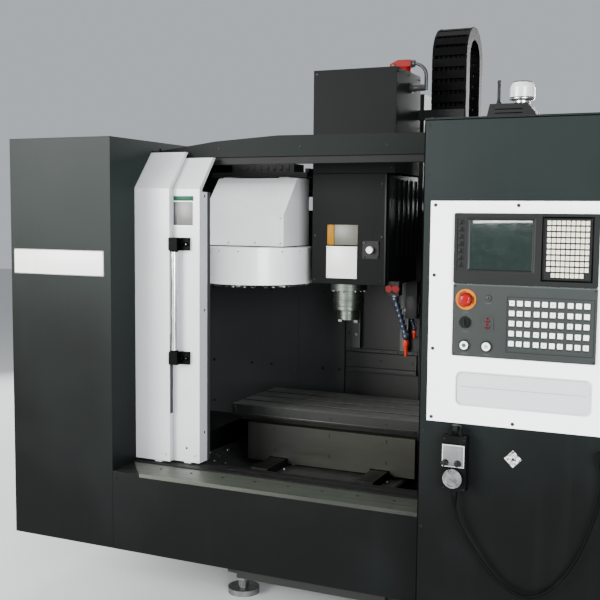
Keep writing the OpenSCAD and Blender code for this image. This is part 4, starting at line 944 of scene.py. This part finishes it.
for inset, y in ((-0.4, front - 0.2), (0.0, front - 1.8), (1.2, front - 2.5), (3.6, front - 2.5),
                 (4.8, front - 1.6), (5.2, front + 0.6), (7.0, front + 0.9)):
    wide, tall = 1 - inset / 191, 1 - inset / 50.5
    rings.append([bm.verts.new(Vector((827 + (x - 827) * wide, y, 985 + (z - 985) * tall)) / 1000)
                  for x, z in corners])
# The faces along the top and left of the recess take the darker grey: painted shade under its rim.
for ring, (low, high) in enumerate(zip(rings, rings[1:])):
    for k in range(len(corners)):
        n = (k + 1) % len(corners)
        face = bm.faces.new((low[k], low[n], high[n], high[k]))
        face.material_index = 1 if ring > 2 and 3 < k < 19 else 0
bm.faces.new(rings[-1])
bm.faces.new(rings[0][::-1])
slab(bm, 652, 1004, front - 0.6, front + 1.4, 990, 991.4, 0, 1)
recess_shade_and_fold_line = coated("recess_shade_and_fold_line", (0.16, 0.165, 0.17), (0.20, 0.205, 0.21), 0.5, dust=0.1)
piece("recess_band", "frame", bm, [recess_grey, recess_shade_and_fold_line])
bm = bmesh.new()
for x, z in ((566, 1512), (804, 1512), (1086, 1512), (566, 1310), (1086, 1310), (566, 1096), (1086, 1096),
             (566, 894), (804, 894), (1086, 894)):
    turned(bm, (x, front, z), (0, -1, 0),
           [(0, 2.2), (2.0, 2.2), (2.2, 3.0), (4.4, 2.7), (5.4, 1.2), (5.4, -0.2)], 20)
piece("panel_screws", "frame", bm, [screw_grey])
bm = bmesh.new()
left, _, low, right, back, top = box_mm("control_cabinet")
sheet = box_mm("white_panel")[4]
for x0, x1, z0, z1 in ((left, right, top - 8, top - 5), (left, right, low + 7, low + 10),
                       (left, left + 3, low + 10, top - 8), (right - 3, right, low + 10, top - 8)):
    slab(bm, x0, x1, sheet - 0.4, sheet + 0.3, z0, z1)
slab(bm, left, right, sheet, back, top - 1.8, top - 1.2)
for z in (top - 71, low + 75):
    slab(bm, right - 0.3, right + 0.4, sheet + 5, back - 5, z, z + 2.4)
for y in (-600, -962):
    slab(bm, right - 0.3, right + 0.4, y, y + 2.4, low + 77, top - 71)
screws(bm, [(right, y, z) for y in (-950, -612) for z in (350, 740, 1130, 1520, 1670)],
       (1, 0, 0), 5, 2.4, 1)
screws(bm, [(x, back, z) for x in (545, 1105) for z in (285, 650, 1010, 1370, 1735)],
       (0, 1, 0), 5, 2.4, 1)
screws(bm, [(x, y, top) for x in (545, 1105) for y in (-965, -575)], (0, 0, 1), 5, 2.4, 1)
screws(bm, [(x, sheet, z) for x in (541, 1109) for z in (285, 560, 850, 1180, 1600, 1740)],
       (0, -1, 0), 4.2, 1.8, 1)
piece("control_cabinet_fixings", "frame", bm, [seam_black, screw_grey])
bm = bmesh.new()
turned(bm, (808, -980, 793), (0, -1, 0), [(0, 2.3), (24.2, 2.3), (26.2, 1.4), (26.4, -0.2)], 4)
bmesh.ops.bevel(bm, geom=bm.edges[:], offset=0.0004, segments=1, affect="EDGES")
turned(bm, (808, -982.0, 793), (0, -1, 0), [(0, 1.9), (3.2, 1.8), (3.6, 1.2), (3.6, 0)], 18, 1)
worn_plate, tree, shader = blank("worn_plate", Roughness=0.5, Specular_IOR_Level=0.3)
rub = add(tree, "TexNoise",
          {"Vector": add(tree, "TexCoord").outputs["Object"], "Scale": 120.0, "Detail": 5.0,
           "Roughness": 0.75}).outputs[0]
rub = add(tree, "MapRange", {"Value": rub, "From Min": 0.44, "From Max": 0.53}).outputs[0]
tree.links.new(add(tree, "Mix", {0: rub, 6: (0.02, 0.022, 0.021, 1), 7: (0.50, 0.51, 0.49, 1)},
                   data_type="RGBA").outputs[2], shader.inputs["Base Color"])
piece("diamond_plate", "frame", bm, [worn_plate, screw_grey])
bm = bmesh.new()
for k in range(10):
    z = 420 + k * 26
    outline = [(0, 0), (2.4, 0.2), (2.4, 2.2), (0.4, 10.8), (-2.2, 10.8)]
    extruded(bm, outline, lambda u, v, w, z=z: (1120.0 + u, -860 + w, z - 0.4 + v), 180)
piece("louvre_blades", "frame", bm, [charcoal])

# Display and keypad: one black moulded bezel with a bevelled window, a row of soft keys beside it and
# the ivory keypad at the right. The window is dark glass that mirrors the light above the operator.
bezel_black = coated("bezel_black", (0.0032, 0.0036, 0.0034), (0.0052, 0.006, 0.0057), 0.42, dust=0.2,
                     runs=0.02, skin=700, depth=0.10, haze=(0.05, 0.05, 0.048, 1), mirror=0.18)
dress(bezel_black, "screen_unit", edge=0.7)
screen_dark, tree, shader = blank("screen_glass", Metallic=0.0, IOR=1.5, Coat_Weight=0.7,
                                  Coat_Roughness=0.02, Specular_IOR_Level=0.25)
glow = add(tree, "TexNoise",
           {"Vector": add(tree, "TexCoord").outputs["Object"], "Scale": 9.0, "Detail": 3.0}).outputs[0]
tone = add(tree, "Mix", {0: glow, 6: (0.003, 0.007, 0.0055, 1), 7: (0.008, 0.016, 0.0125, 1)},
           data_type="RGBA").outputs[2]
tree.links.new(tone, shader.inputs["Base Color"])
smear = add(tree, "TexNoise",
            {"Vector": add(tree, "TexCoord").outputs["Object"], "Scale": 55.0, "Detail": 6.0}).outputs[0]
tree.links.new(add(tree, "MapRange",
                   {"Value": smear, "From Min": 0.35, "From Max": 0.7, "To Min": 0.05,
                    "To Max": 0.22}).outputs[0], shader.inputs["Roughness"])
dress(screen_dark, "screen_glass", edge=0.6)
bm = bmesh.new()
rings = []
for inset, y in ((-0.6, front - 9.7), (0.0, front - 10.4), (4.0, front - 10.4), (6.0, front - 9.0),
                 (9.5, front - 6.2), (10.5, front - 6.0)):
    x0, x1, z0, z1 = 660 + inset, 856 - inset, 1322 + inset, 1480 - inset
    r = max(6.0 - inset * 0.3, 2.0)
    rings.append([])
    for cx, cz, a0 in ((x1 - r, z1 - r, 0), (x0 + r, z1 - r, 90), (x0 + r, z0 + r, 180),
                       (x1 - r, z0 + r, 270)):
        for a in (math.radians(a0 + step) for step in (0, 30, 60, 90)):
            rings[-1].append(bm.verts.new(Vector((cx + r * math.cos(a), y, cz + r * math.sin(a))) / 1000))
skin_over(bm, rings, ends=False)
for k in range(7):
    z = 1335.5 + k * 20.2
    slab(bm, 638, 652, front - 10.6, front - 7.6, z, z + 13.5, 1.6, 4)
for x0, x1, z0, z1 in ((871.4, 876.4, 1303, 1482), (1005.6, 1010.6, 1303, 1482), (876, 1006, 1476.6, 1482),
                       (876, 1006, 1303, 1308.4)):
    slab(bm, x0, x1, front - 10.9, front - 9.6, z0, z1, 0.4, 1)
screws(bm, [(x, front - 10, z) for x in (631, 1019) for z in (1298, 1483)], (0, -1, 0), 2.6, 1.0, 2)
# Painted highlight: a pale green strip in the gap under the bezel, where the operator panel's top edge
# catches the light.
slab(bm, 625.6, 1024.4, front - 0.9, front + 0.2, 1288.2, 1290.2, 0, 3)
gap_highlight_green = coated("gap_highlight_green", (0.034, 0.042, 0.036), (0.046, 0.055, 0.048), 0.5, dust=0.0, runs=0.02,
                    mirror=0.1)
soft_key = coated("soft_key", (0.0024, 0.0027, 0.0026), (0.0034, 0.0038, 0.0036), 0.45, dust=0.05, runs=0.0,
                  mirror=0.1)
piece("display_frame", "frame", bm, [bezel_black, seam_black, screw_grey, gap_highlight_green, soft_key])
ivory = coated("ivory_key", (0.66, 0.62, 0.50), (0.72, 0.68, 0.57), 0.38, dust=0.15, runs=0.0, skin=900,
               depth=0.04, haze=(0.30, 0.27, 0.22, 1))
legend = coated("key_legend", (0.10, 0.10, 0.11), (0.14, 0.14, 0.15), 0.5, dust=0.0)
bm = bmesh.new()
for i in range(9):
    for j in range(10):
        x, z = 891 + i * 12.8, 1321 + j * 16
        if j == 0 and i in (0, 8):
            continue
        rings = []
        for half_x, half_z, y in ((5.0, 6.0, -7.0), (5.0, 6.0, -8.8), (4.7, 5.7, -10.0), (4.0, 5.0, -10.7),
                                  (3.1, 4.1, -10.5)):
            rings.append([bm.verts.new(Vector((x + a * half_x, front + y, z + b * half_z)) / 1000)
                          for a, b in ((-1, -1), (1, -1), (1, 1), (-1, 1))])
        skin_over(bm, rings)
        wide = 1.0 + (i * 5 + j * 3) % 3 * 0.6
        slab(bm, x - wide, x + wide, front - 10.62, front - 10.44, z - 0.2, z + 1.6, 0, 1)
        if (i + j) % 2:
            slab(bm, x - wide * 0.6, x + wide, front - 10.62, front - 10.44, z - 2.4, z - 1.2, 0, 1)
piece("keypad_caps", "frame", bm, [ivory, legend], stands_for=("keypad_keys",))

# Operator panel: grey membrane-faced plate with a raised key field and fifty white square keys. The
# emergency stop, the key switch, the push buttons and the lamps stand at its left.
panel_grey = coated("operator_grey", (0.0090, 0.0112, 0.0106), (0.0142, 0.0176, 0.0163), 0.4, dust=0.2,
                    runs=0.012, skin=800, depth=0.06, haze=(0.09, 0.09, 0.085, 1), mirror=0.35)
line_grey = coated("panel_line", (0.006, 0.0072, 0.007), (0.009, 0.0105, 0.010), 0.5, dust=0.0, runs=0.0,
                   mirror=0.1)
green_print_and_highlight = coated("panel_print_and_edge_highlight", (0.036, 0.044, 0.040), (0.050, 0.060, 0.054), 0.45, dust=0.0, runs=0.02,
                    mirror=0.1)
key_white = coated("key_white", (0.74, 0.75, 0.74), (0.80, 0.80, 0.79), 0.3, dust=0.12, runs=0.0, skin=900,
                   depth=0.03, haze=(0.42, 0.42, 0.40, 1))
black_ring = coated("button_ring", (0.004, 0.004, 0.004), (0.006, 0.006, 0.006), 0.3, dust=0.06, gloss=0.15,
                    haze=(0.04, 0.04, 0.04, 1), mirror=0.2)
lamp_red = coated("lamp_red", (0.045, 0.0008, 0.0035), (0.06, 0.001, 0.005), 0.35, dust=0.0, runs=0.0,
                  mirror=0.15)
dress(panel_grey, "operator_panel", edge=0.8)
bm = bmesh.new()
# The first strip, along the panel's top, is a painted highlight of its top edge; the other lines are print.
for x0, x1, z0, z1, tint in ((625.4, 1024.6, 1284.8, 1287.6, 1), (625.4, 627.2, 1082, 1285.2, 0),
                             (780, 1019, 1255.6, 1257, 0), (780, 781.4, 1100.4, 1255.6, 0),
                             (1017.6, 1019, 1100.4, 1255.6, 0), (780, 1019, 1099, 1100.4, 0)):
    slab(bm, x0, x1, front - 6.5, front - 5.8, z0, z1, 0, tint)
for x, z in ((663, 1206), (663, 1150), (661, 1087), (725, 1087), (727, 1234)):
    slab(bm, x - 9, x + 9, front - 6.4, front - 5.9, z, z + 2.6, 0, 1)
keys = [(i, j, 794.5 + 22 * i + (3 if i > 2 else 0) + (3 if i > 6 else 0), 1239 - 28.5 * j)
        for i in range(10) for j in range(5)]
for i, j, x, z in keys:
    slab(bm, x - 7, x + 5 - (i * j) % 4, front - 5.3, front - 4.6, z - 12.6, z - 10.8)
screws(bm, [(x, front - 6, z) for x in (631, 1019) for z in (1086, 1281)], (0, -1, 0), 2.6, 1.0, 2)
piece("operator_lines", "frame", bm, [line_grey, green_print_and_highlight, screw_grey])
bm = bmesh.new()
for i, j, x, z in keys:
    slab(bm, x - 7.5, x + 7.5, front - 9.2, front - 3.4, z - 7.5, z + 7.5, 1.4)
    slab(bm, x - 4.4, x + 4.4, front - 9.35, front - 9.1, z - 4.4, z + 4.4, 0, 1)
    kind = (i * 7 + j * 3) % 5
    if kind < 3:
        slab(bm, x - 2.6 + kind, x + 2.6 - kind * 0.4, front - 9.5, front - 9.3, z - 0.7, z + 0.7, 0, 2)
    if kind in (0, 3, 4):
        slab(bm, x - 0.7, x + 0.7, front - 9.5, front - 9.3, z - 2.6 + kind * 0.3, z + 2.6, 0, 2)
key_face = coated("key_face", (0.80, 0.80, 0.79), (0.86, 0.86, 0.85), 0.4, dust=0.05)
piece("membrane_keys", "frame", bm, [key_white, key_face, legend], stands_for=("square_keys",))

# Emergency stop: red mushroom head, moulded with a stepped rim, on a yellow disc that carries three
# short dark arcs.
stop_x, _, stop_z = middle("estop_button")
stop_yellow = coated("stop_yellow", (0.33, 0.085, 0.0008), (0.40, 0.105, 0.001), 0.4, dust=0.0, runs=0.0,
                     skin=900, depth=0.04, mirror=0.12)
dress(stop_yellow, "estop_ring", edge=1.2)
mushroom_red = coated("mushroom_red", (0.16, 0.0008, 0.001), (0.20, 0.0012, 0.0015), 0.3, dust=0.0,
                      runs=0.0, skin=900, depth=0.03, gloss=0.15, mirror=0.15)
bm = bmesh.new()
turned(bm, (stop_x, front - 13, stop_z), (0, -1, 0),
       [(8.4, -6), (8.4, 0.2), (15.6, 0.2), (18.4, 0.6), (19.0, 2.2), (18.9, 6.0), (18.0, 8.6),
        (16.2, 10.4), (14.6, 11.2), (13.8, 12.2), (12.6, 12.6), (11.6, 12.2), (9.0, 12.9), (5.0, 13.2),
        (0, 13.3)], 56)
piece("mushroom_head", "emergency_stop", bm, [mushroom_red], stands_for=("estop_button",))
bm = bmesh.new()
for k in range(3):
    a0 = math.radians(90 + k * 120)
    for step in range(8):
        a, b = a0 + math.radians(step * 7), a0 + math.radians((step + 1) * 7)
        skin_over(bm, [[bm.verts.new(Vector((stop_x + r * math.cos(t), y, stop_z + r * math.sin(t))) / 1000)
                        for r, t in ((21.8, a), (24.2, a), (24.2, b), (21.8, b))]
                       for y in (front - 8.7, front - 9.3)])
turned(bm, (stop_x, front - 8.8, stop_z), (0, -1, 0),
       [(19.6, 0), (20.6, 0.3), (19.0, 0.5), (11.0, 0.5), (9.4, 0.2)], 48)
piece("stop_ring_marks", "frame", bm, [black_ring])

# Key switch and push buttons: the switch has a ribbed black nut and a chrome key, each button a black
# collar, a white ring and its own centre. Two small red lamps stand beside them.
chrome = metal("chrome_nut", (0.60, 0.61, 0.61), (0.38, 0.38, 0.38), 0.2, (60.0, 60.0, 60.0))
dress(black_ring, "key_switch", "start_button", "stop_button", edge=0.8)
bm = bmesh.new()
switch_x, _, switch_z = middle("key_switch")
turned(bm, (switch_x, front - 6, switch_z), (0, -1, 0),
       [(13.6, -0.2), (17.2, -0.2), (17.2, 2.2), (16.4, 3.0), (13.6, 3.0)], 40)
for k in range(20):
    a = math.radians(k * 18)
    turned(bm, (switch_x + 16.9 * math.cos(a), front - 6, switch_z + 16.9 * math.sin(a)), (0, -1, 0),
           [(0, 0), (0.8, 0), (0.8, 2.4), (0, 2.7)], 6)
slab(bm, 655, 658, front - 6.6, front - 5.8, 1198, 1202, 0, 1)
slab(bm, 672, 675, front - 6.6, front - 5.8, 1196, 1200, 0, 1)
piece("key_switch_nut", "frame", bm, [black_ring, green_print_and_highlight])
bm = bmesh.new()
slab(bm, switch_x - 1.8, switch_x + 1.8, front - 23.6, front - 15, switch_z - 8, switch_z + 5, 0.9)
piece("switch_key", "key_switch", bm, [chrome])
for body, tint in (("start_button", (0.03, 0.05, 0.05)), ("stop_button", (0.24, 0.30, 0.29))):
    x, _, z = middle(body)
    lens = coated(body + "_centre", tint, tuple(c * 1.2 for c in tint), 0.25, dust=0.1, gloss=0.5)
    bm = bmesh.new()
    turned(bm, (x, front, z), (0, -1, 0),
           [(8.6, 9.6), (12.0, 9.8), (12.0, 12.0), (11.2, 12.8), (7.0, 12.9), (6.6, 12.2), (6.0, 12.2)], 44)
    turned(bm, (x, front, z), (0, -1, 0), [(6.2, 12.1), (5.8, 12.5), (3.0, 12.9), (0, 13.0)], 36, 1)
    piece(body + "_cap", body, bm, [key_white, lens], stands_for=(body,))
bm = bmesh.new()
for body in ("start_button", "stop_button"):
    x, _, z = middle(body)
    turned(bm, (x, front - 6, z), (0, -1, 0),
           [(12.6, 0.2), (13.0, 3.4), (15.4, 3.5), (17.0, 2.2), (17.3, 0.4), (17.3, -0.3)], 44)
turned(bm, (727, front - 6, 1250), (0, -1, 0),
       [(9.4, -0.2), (9.4, 1.6), (8.4, 2.4), (6.8, 2.4), (6.4, 1.6), (3.4, 3.2), (0, 3.5)])
piece("button_collars", "frame", bm, [black_ring])
bm = bmesh.new()
for z in (1169, 1187):
    turned(bm, (726, front - 8, z), (0, -1, 0),
           [(7.0, -0.2), (7.0, 0.8), (5.9, 1.4), (5.8, 4.4), (4.6, 5.4), (0, 5.8)])
piece("small_red_lamps", "frame", bm, [lamp_red])

# Pendant: black moulded hand box with a light grey face, two pointer knobs and the silver hand wheel
# with its crank knob. A steel loop hangs it on the cabinet's hook.
pendant_black = coated("pendant_black", (0.0014, 0.0014, 0.0015), (0.0022, 0.0022, 0.0024), 0.5, dust=0.06,
                       skin=600, depth=0.12, haze=(0.03, 0.03, 0.03, 1), mirror=0.06)
pendant_grey = coated("pendant_face", (0.075, 0.079, 0.079), (0.11, 0.114, 0.114), 0.4, dust=0.12,
                      runs=0.12, skin=900, depth=0.03)
wheel_metal = metal("hand_wheel_metal", (0.30, 0.31, 0.31), (0.05, 0.052, 0.052), 0.3,
                    (55.0, 55.0, 55.0), 0.12)
pendant_edge = coated("pendant_edge", (0.34, 0.35, 0.35), (0.40, 0.41, 0.41), 0.4, dust=0.1)
wheel_x, _, wheel_z = middle("pendant_wheel")
dress(pendant_black, "pendant", edge=1.6)
dress(black_ring, "pendant_selector_a", "pendant_selector_b", edge=0.7)
dress(wheel_metal, "pendant_wheel", edge=0.9)
dress(pendant_black, "cable_gland", edge=0.8)
bm = bmesh.new()
slab(bm, 614.6, 679.4, -1030.7, -1029.6, 762.6, 827.4, 0.8)
for x0, x1, z0, z1 in ((614.6, 617.2, 762.6, 827.4), (676.8, 679.4, 762.6, 827.4),
                       (617.2, 676.8, 824.6, 827.4), (617.2, 676.8, 762.6, 765.0)):
    slab(bm, x0, x1, -1031.1, -1030.5, z0, z1, 0, 4)
for selector in ("pendant_selector_a", "pendant_selector_b"):
    x, _, z = middle(selector)
    turned(bm, (x, -1030.4, z), (0, -1, 0), [(7.8, -0.4), (10.4, -0.4), (10.4, 0.6), (7.8, 0.9)], 32, 1)
    for k in range(9):
        a = math.radians(-40 + k * 32.5)
        cx, cz = x + 12.6 * math.cos(a), z + 12.6 * math.sin(a)
        slab(bm, cx - 0.6, cx + 0.6, -1030.95, -1030.6, cz - 0.6, cz + 0.6, 0, 2)
for x0, x1, z in ((620, 642, 816), (652, 674, 816), (620, 640, 811.5), (652, 670, 811.5)):
    slab(bm, x0, x1, -1030.95, -1030.6, z, z + 1.8, 0, 2)
screws(bm, [(x, -1026, z) for x in (619, 677) for z in (699, 843)], (0, -1, 0), 2.8, 1.2, 3)
piece("pendant_face", "frame", bm, [pendant_grey, black_ring, legend, screw_grey, pendant_edge])
bm = bmesh.new()
for k in range(12):
    z = 700 + k * 7.5
    slab(bm, 611.2, 612.6, -1020, -1000, z, z + 3.2, 0.5)
    slab(bm, 683.4, 684.8, -1020, -1000, z, z + 3.2, 0.5)
turned(bm, (wheel_x, -1026, wheel_z), (0, -1, 0),
       [(30.6, -0.4), (33.0, -0.4), (33.0, 1.0), (32.2, 1.6), (30.6, 1.6)], 60)
piece("pendant_grips", "frame", bm, [pendant_black])
bm = bmesh.new()
for k in range(50):
    a = math.radians(k * 7.2)
    cx, cz = wheel_x + 27.6 * math.cos(a), wheel_z + 27.6 * math.sin(a)
    extruded(bm, [(-0.8, -0.2), (0.8, -0.2), (0.5, 0.6), (-0.5, 0.6)],
             lambda u, v, w, a=a, cx=cx, cz=cz: (cx + v * math.cos(a) - u * math.sin(a), -1031.2 - w,
                                                 cz + v * math.sin(a) + u * math.cos(a)), 9.6)
turned(bm, (wheel_x, -1039, wheel_z), (0, -1, 0),
       [(22.4, 0), (22.4, 0.5), (14.0, 0.9), (8.2, 0.9), (7.8, 2.4), (4.4, 2.6), (3.6, 1.8), (0, 1.7)], 48)
turned(bm, (wheel_x - 10.1, -1038.5, wheel_z + 19.6), (0, -1, 0),
       [(4.6, 0), (5.2, 2.0), (4.9, 5.0), (4.2, 8.0), (5.0, 12.0), (4.8, 14.6), (3.4, 15.4),
        (0, 15.5)], 28, 1)
piece("hand_wheel_detail", "hand_wheel", bm, [wheel_metal, black_ring])
bm = bmesh.new()
turned(bm, (1060, -1004, 812), (0, 0, -1),
       [(9.2, -0.4), (14.8, -0.4), (14.8, 3.4), (13.6, 4.4), (13.6, 11.4), (9.2, 12.0)], 12)
screws(bm, [(x, -1018, z) for x in (1049, 1071) for z in (817, 839)], (0, -1, 0), 2.6, 1.4)
slab(bm, 1042.8, 1077.2, -981.6, -979.8, 810.8, 845.2, 0.5, 1)
piece("gland_nut", "frame", bm, [pendant_black, rubber])

# Roof unit: black sheet box with sloped ends, a thin rod antenna and a turned metal lamp foot with a
# ribbed clear dome.
dome_clear, tree, shader = blank("dome_clear", Metallic=0.0, IOR=1.46, Coat_Weight=0.6, Coat_Roughness=0.08,
                                 Transmission_Weight=0.2)
cloud = add(tree, "TexNoise",
            {"Vector": add(tree, "TexCoord").outputs["Object"], "Scale": 60.0, "Detail": 3.0}).outputs[0]
tree.links.new(add(tree, "Mix", {0: cloud, 6: (0.62, 0.66, 0.62, 1), 7: (0.80, 0.83, 0.80, 1)},
                   data_type="RGBA").outputs[2], shader.inputs["Base Color"])
tree.links.new(add(tree, "MapRange", {"Value": cloud, "To Min": 0.1, "To Max": 0.3}).outputs[0],
               shader.inputs["Roughness"])
lamp_steel = metal("lamp_steel", (0.60, 0.60, 0.59), (0.34, 0.34, 0.34), 0.24, (3.0, 3.0, 300.0))
lamp_foot = (730, -612, 1831)
bm = bmesh.new()
turned(bm, lamp_foot, (0, 0, 1),
       [(0, -0.4), (25.4, -0.4), (25.4, 3.0), (24.4, 4.4), (24.4, 10.6), (37.6, 13.6), (38.4, 15.0),
        (38.4, 18.0), (36.6, 19.6), (36.6, 21.0)], 64)
dome = [(38.3, 21.0)]
for ring in range(4):
    h = 22.0 + ring * 7.0
    dome += [(39.2, h), (39.2, h + 4.2), (38.3, h + 5.2), (38.3, h + 6.2)]
dome += [(38.6, 51.6), (36.4, 57.0), (33.2, 62.6), (29.0, 67.8), (22.0, 70.6), (8.0, 71.2), (0, 71.3)]
turned(bm, lamp_foot, (0, 0, 1), dome, 64, 1)
turned(bm, (662.5, -637.5, 1831), (0, 0, 1),
       [(0, 0), (9.6, 0), (9.6, 3.0), (7.4, 4.4), (5.4, 12), (5.1, 14), (5.1, 66), (5.7, 67.4), (5.9, 70),
        (5.7, 73.4), (4.0, 74.6), (0, 74.8)], 24, 2)
piece("roof_lamp_and_rod", "frame", bm, [lamp_steel, dome_clear, black_coat])
bm = bmesh.new()
for z in range(1776, 1820, 12):
    slab(bm, 656, 742, -660.6, -659.6, z, z + 3.2, 0.3, 1)
slab(bm, 614, 819, -664, -556, 1761, 1763.2, 0.8)
screws(bm, [(x, y, 1763.0) for x in (619, 814) for y in (-658, -562)], (0, 0, 1), 2.6, 1.2, 2)
screws(bm, [(x, -660, z) for x, z in ((636, 1773), (790, 1773), (648, 1822), (748, 1822))],
       (0, -1, 0), 2.8, 1.4, 2)
piece("roof_box_trim", "frame", bm, [black_coat, seam_black, screw_grey])

# Rear electrical cabinet, hidden in the photograph: folded sheet on the column's back, with a door on
# three turned hinges, louvres below, a turning latch and a bare plate.
dress(zinc, "cabinet_latch", edge=0.8)
bm = bmesh.new()
for z in (760, 1230, 1700):
    turned(bm, (-351, 1032, z - 44), (0, 0, 1),
           [(0, 0), (6.2, 0), (6.6, 1.2), (6.6, 28.2), (5.2, 28.8), (5.2, 29.4), (6.6, 30.0), (6.6, 58.0),
            (5.2, 58.6), (5.2, 59.2), (6.6, 59.8), (6.6, 86.8), (6.2, 88), (0, 88)], 24)
left, front, low, right, back, top = box_mm("rear_cabinet")
left += 12  # the hinge leaves stand out that far past the sheet
screws(bm, [(x, back, z) for x in (left + 4, right - 4) for z in (low + 32, top - 33)],
       (0, 1, 0), 3.6, 1.6, 1)
for x, side in ((left, -1), (right, 1)):
    screws(bm, [(x, y, z) for y in (780, 990) for z in (600, 1230, 1860)], (side, 0, 0), 4.5, 2.2, 1)
slab(bm, right - 0.3, right + 0.4, front + 30, back - 26, 1500, 1502.4, 0, 2)
piece("rear_cabinet_fixings", "frame", bm, [black_ring, screw_grey, seam_black])
face = box_mm("rear_cabinet_door")[4]
bm = bmesh.new()
for k in range(8):
    z = 640 + k * 20
    outline = [(0.2, 0), (2.6, 0.4), (2.8, 2.2), (0.9, 9.6), (-1.4, 9.6)]
    extruded(bm, outline, lambda u, v, w, z=z: (-145 + w, face + u, z + v), 240)
turned(bm, (245, face, 1235), (0, 1, 0),
       [(16.4, -0.2), (21.0, -0.2), (21.0, 1.6), (20.0, 2.6), (16.4, 2.6)], 36, 1)
slab(bm, -90, 40, face - 0.2, face + 1.0, 1560, 1640, 0.6, 2)
screws(bm, [(x, face + 0.8, z) for x in (-84, 34) for z in (1566, 1634)], (0, 1, 0), 2.4, 1.0, 1)
piece("rear_door_details", "rear_door", bm, [charcoal, zinc, plate_white])
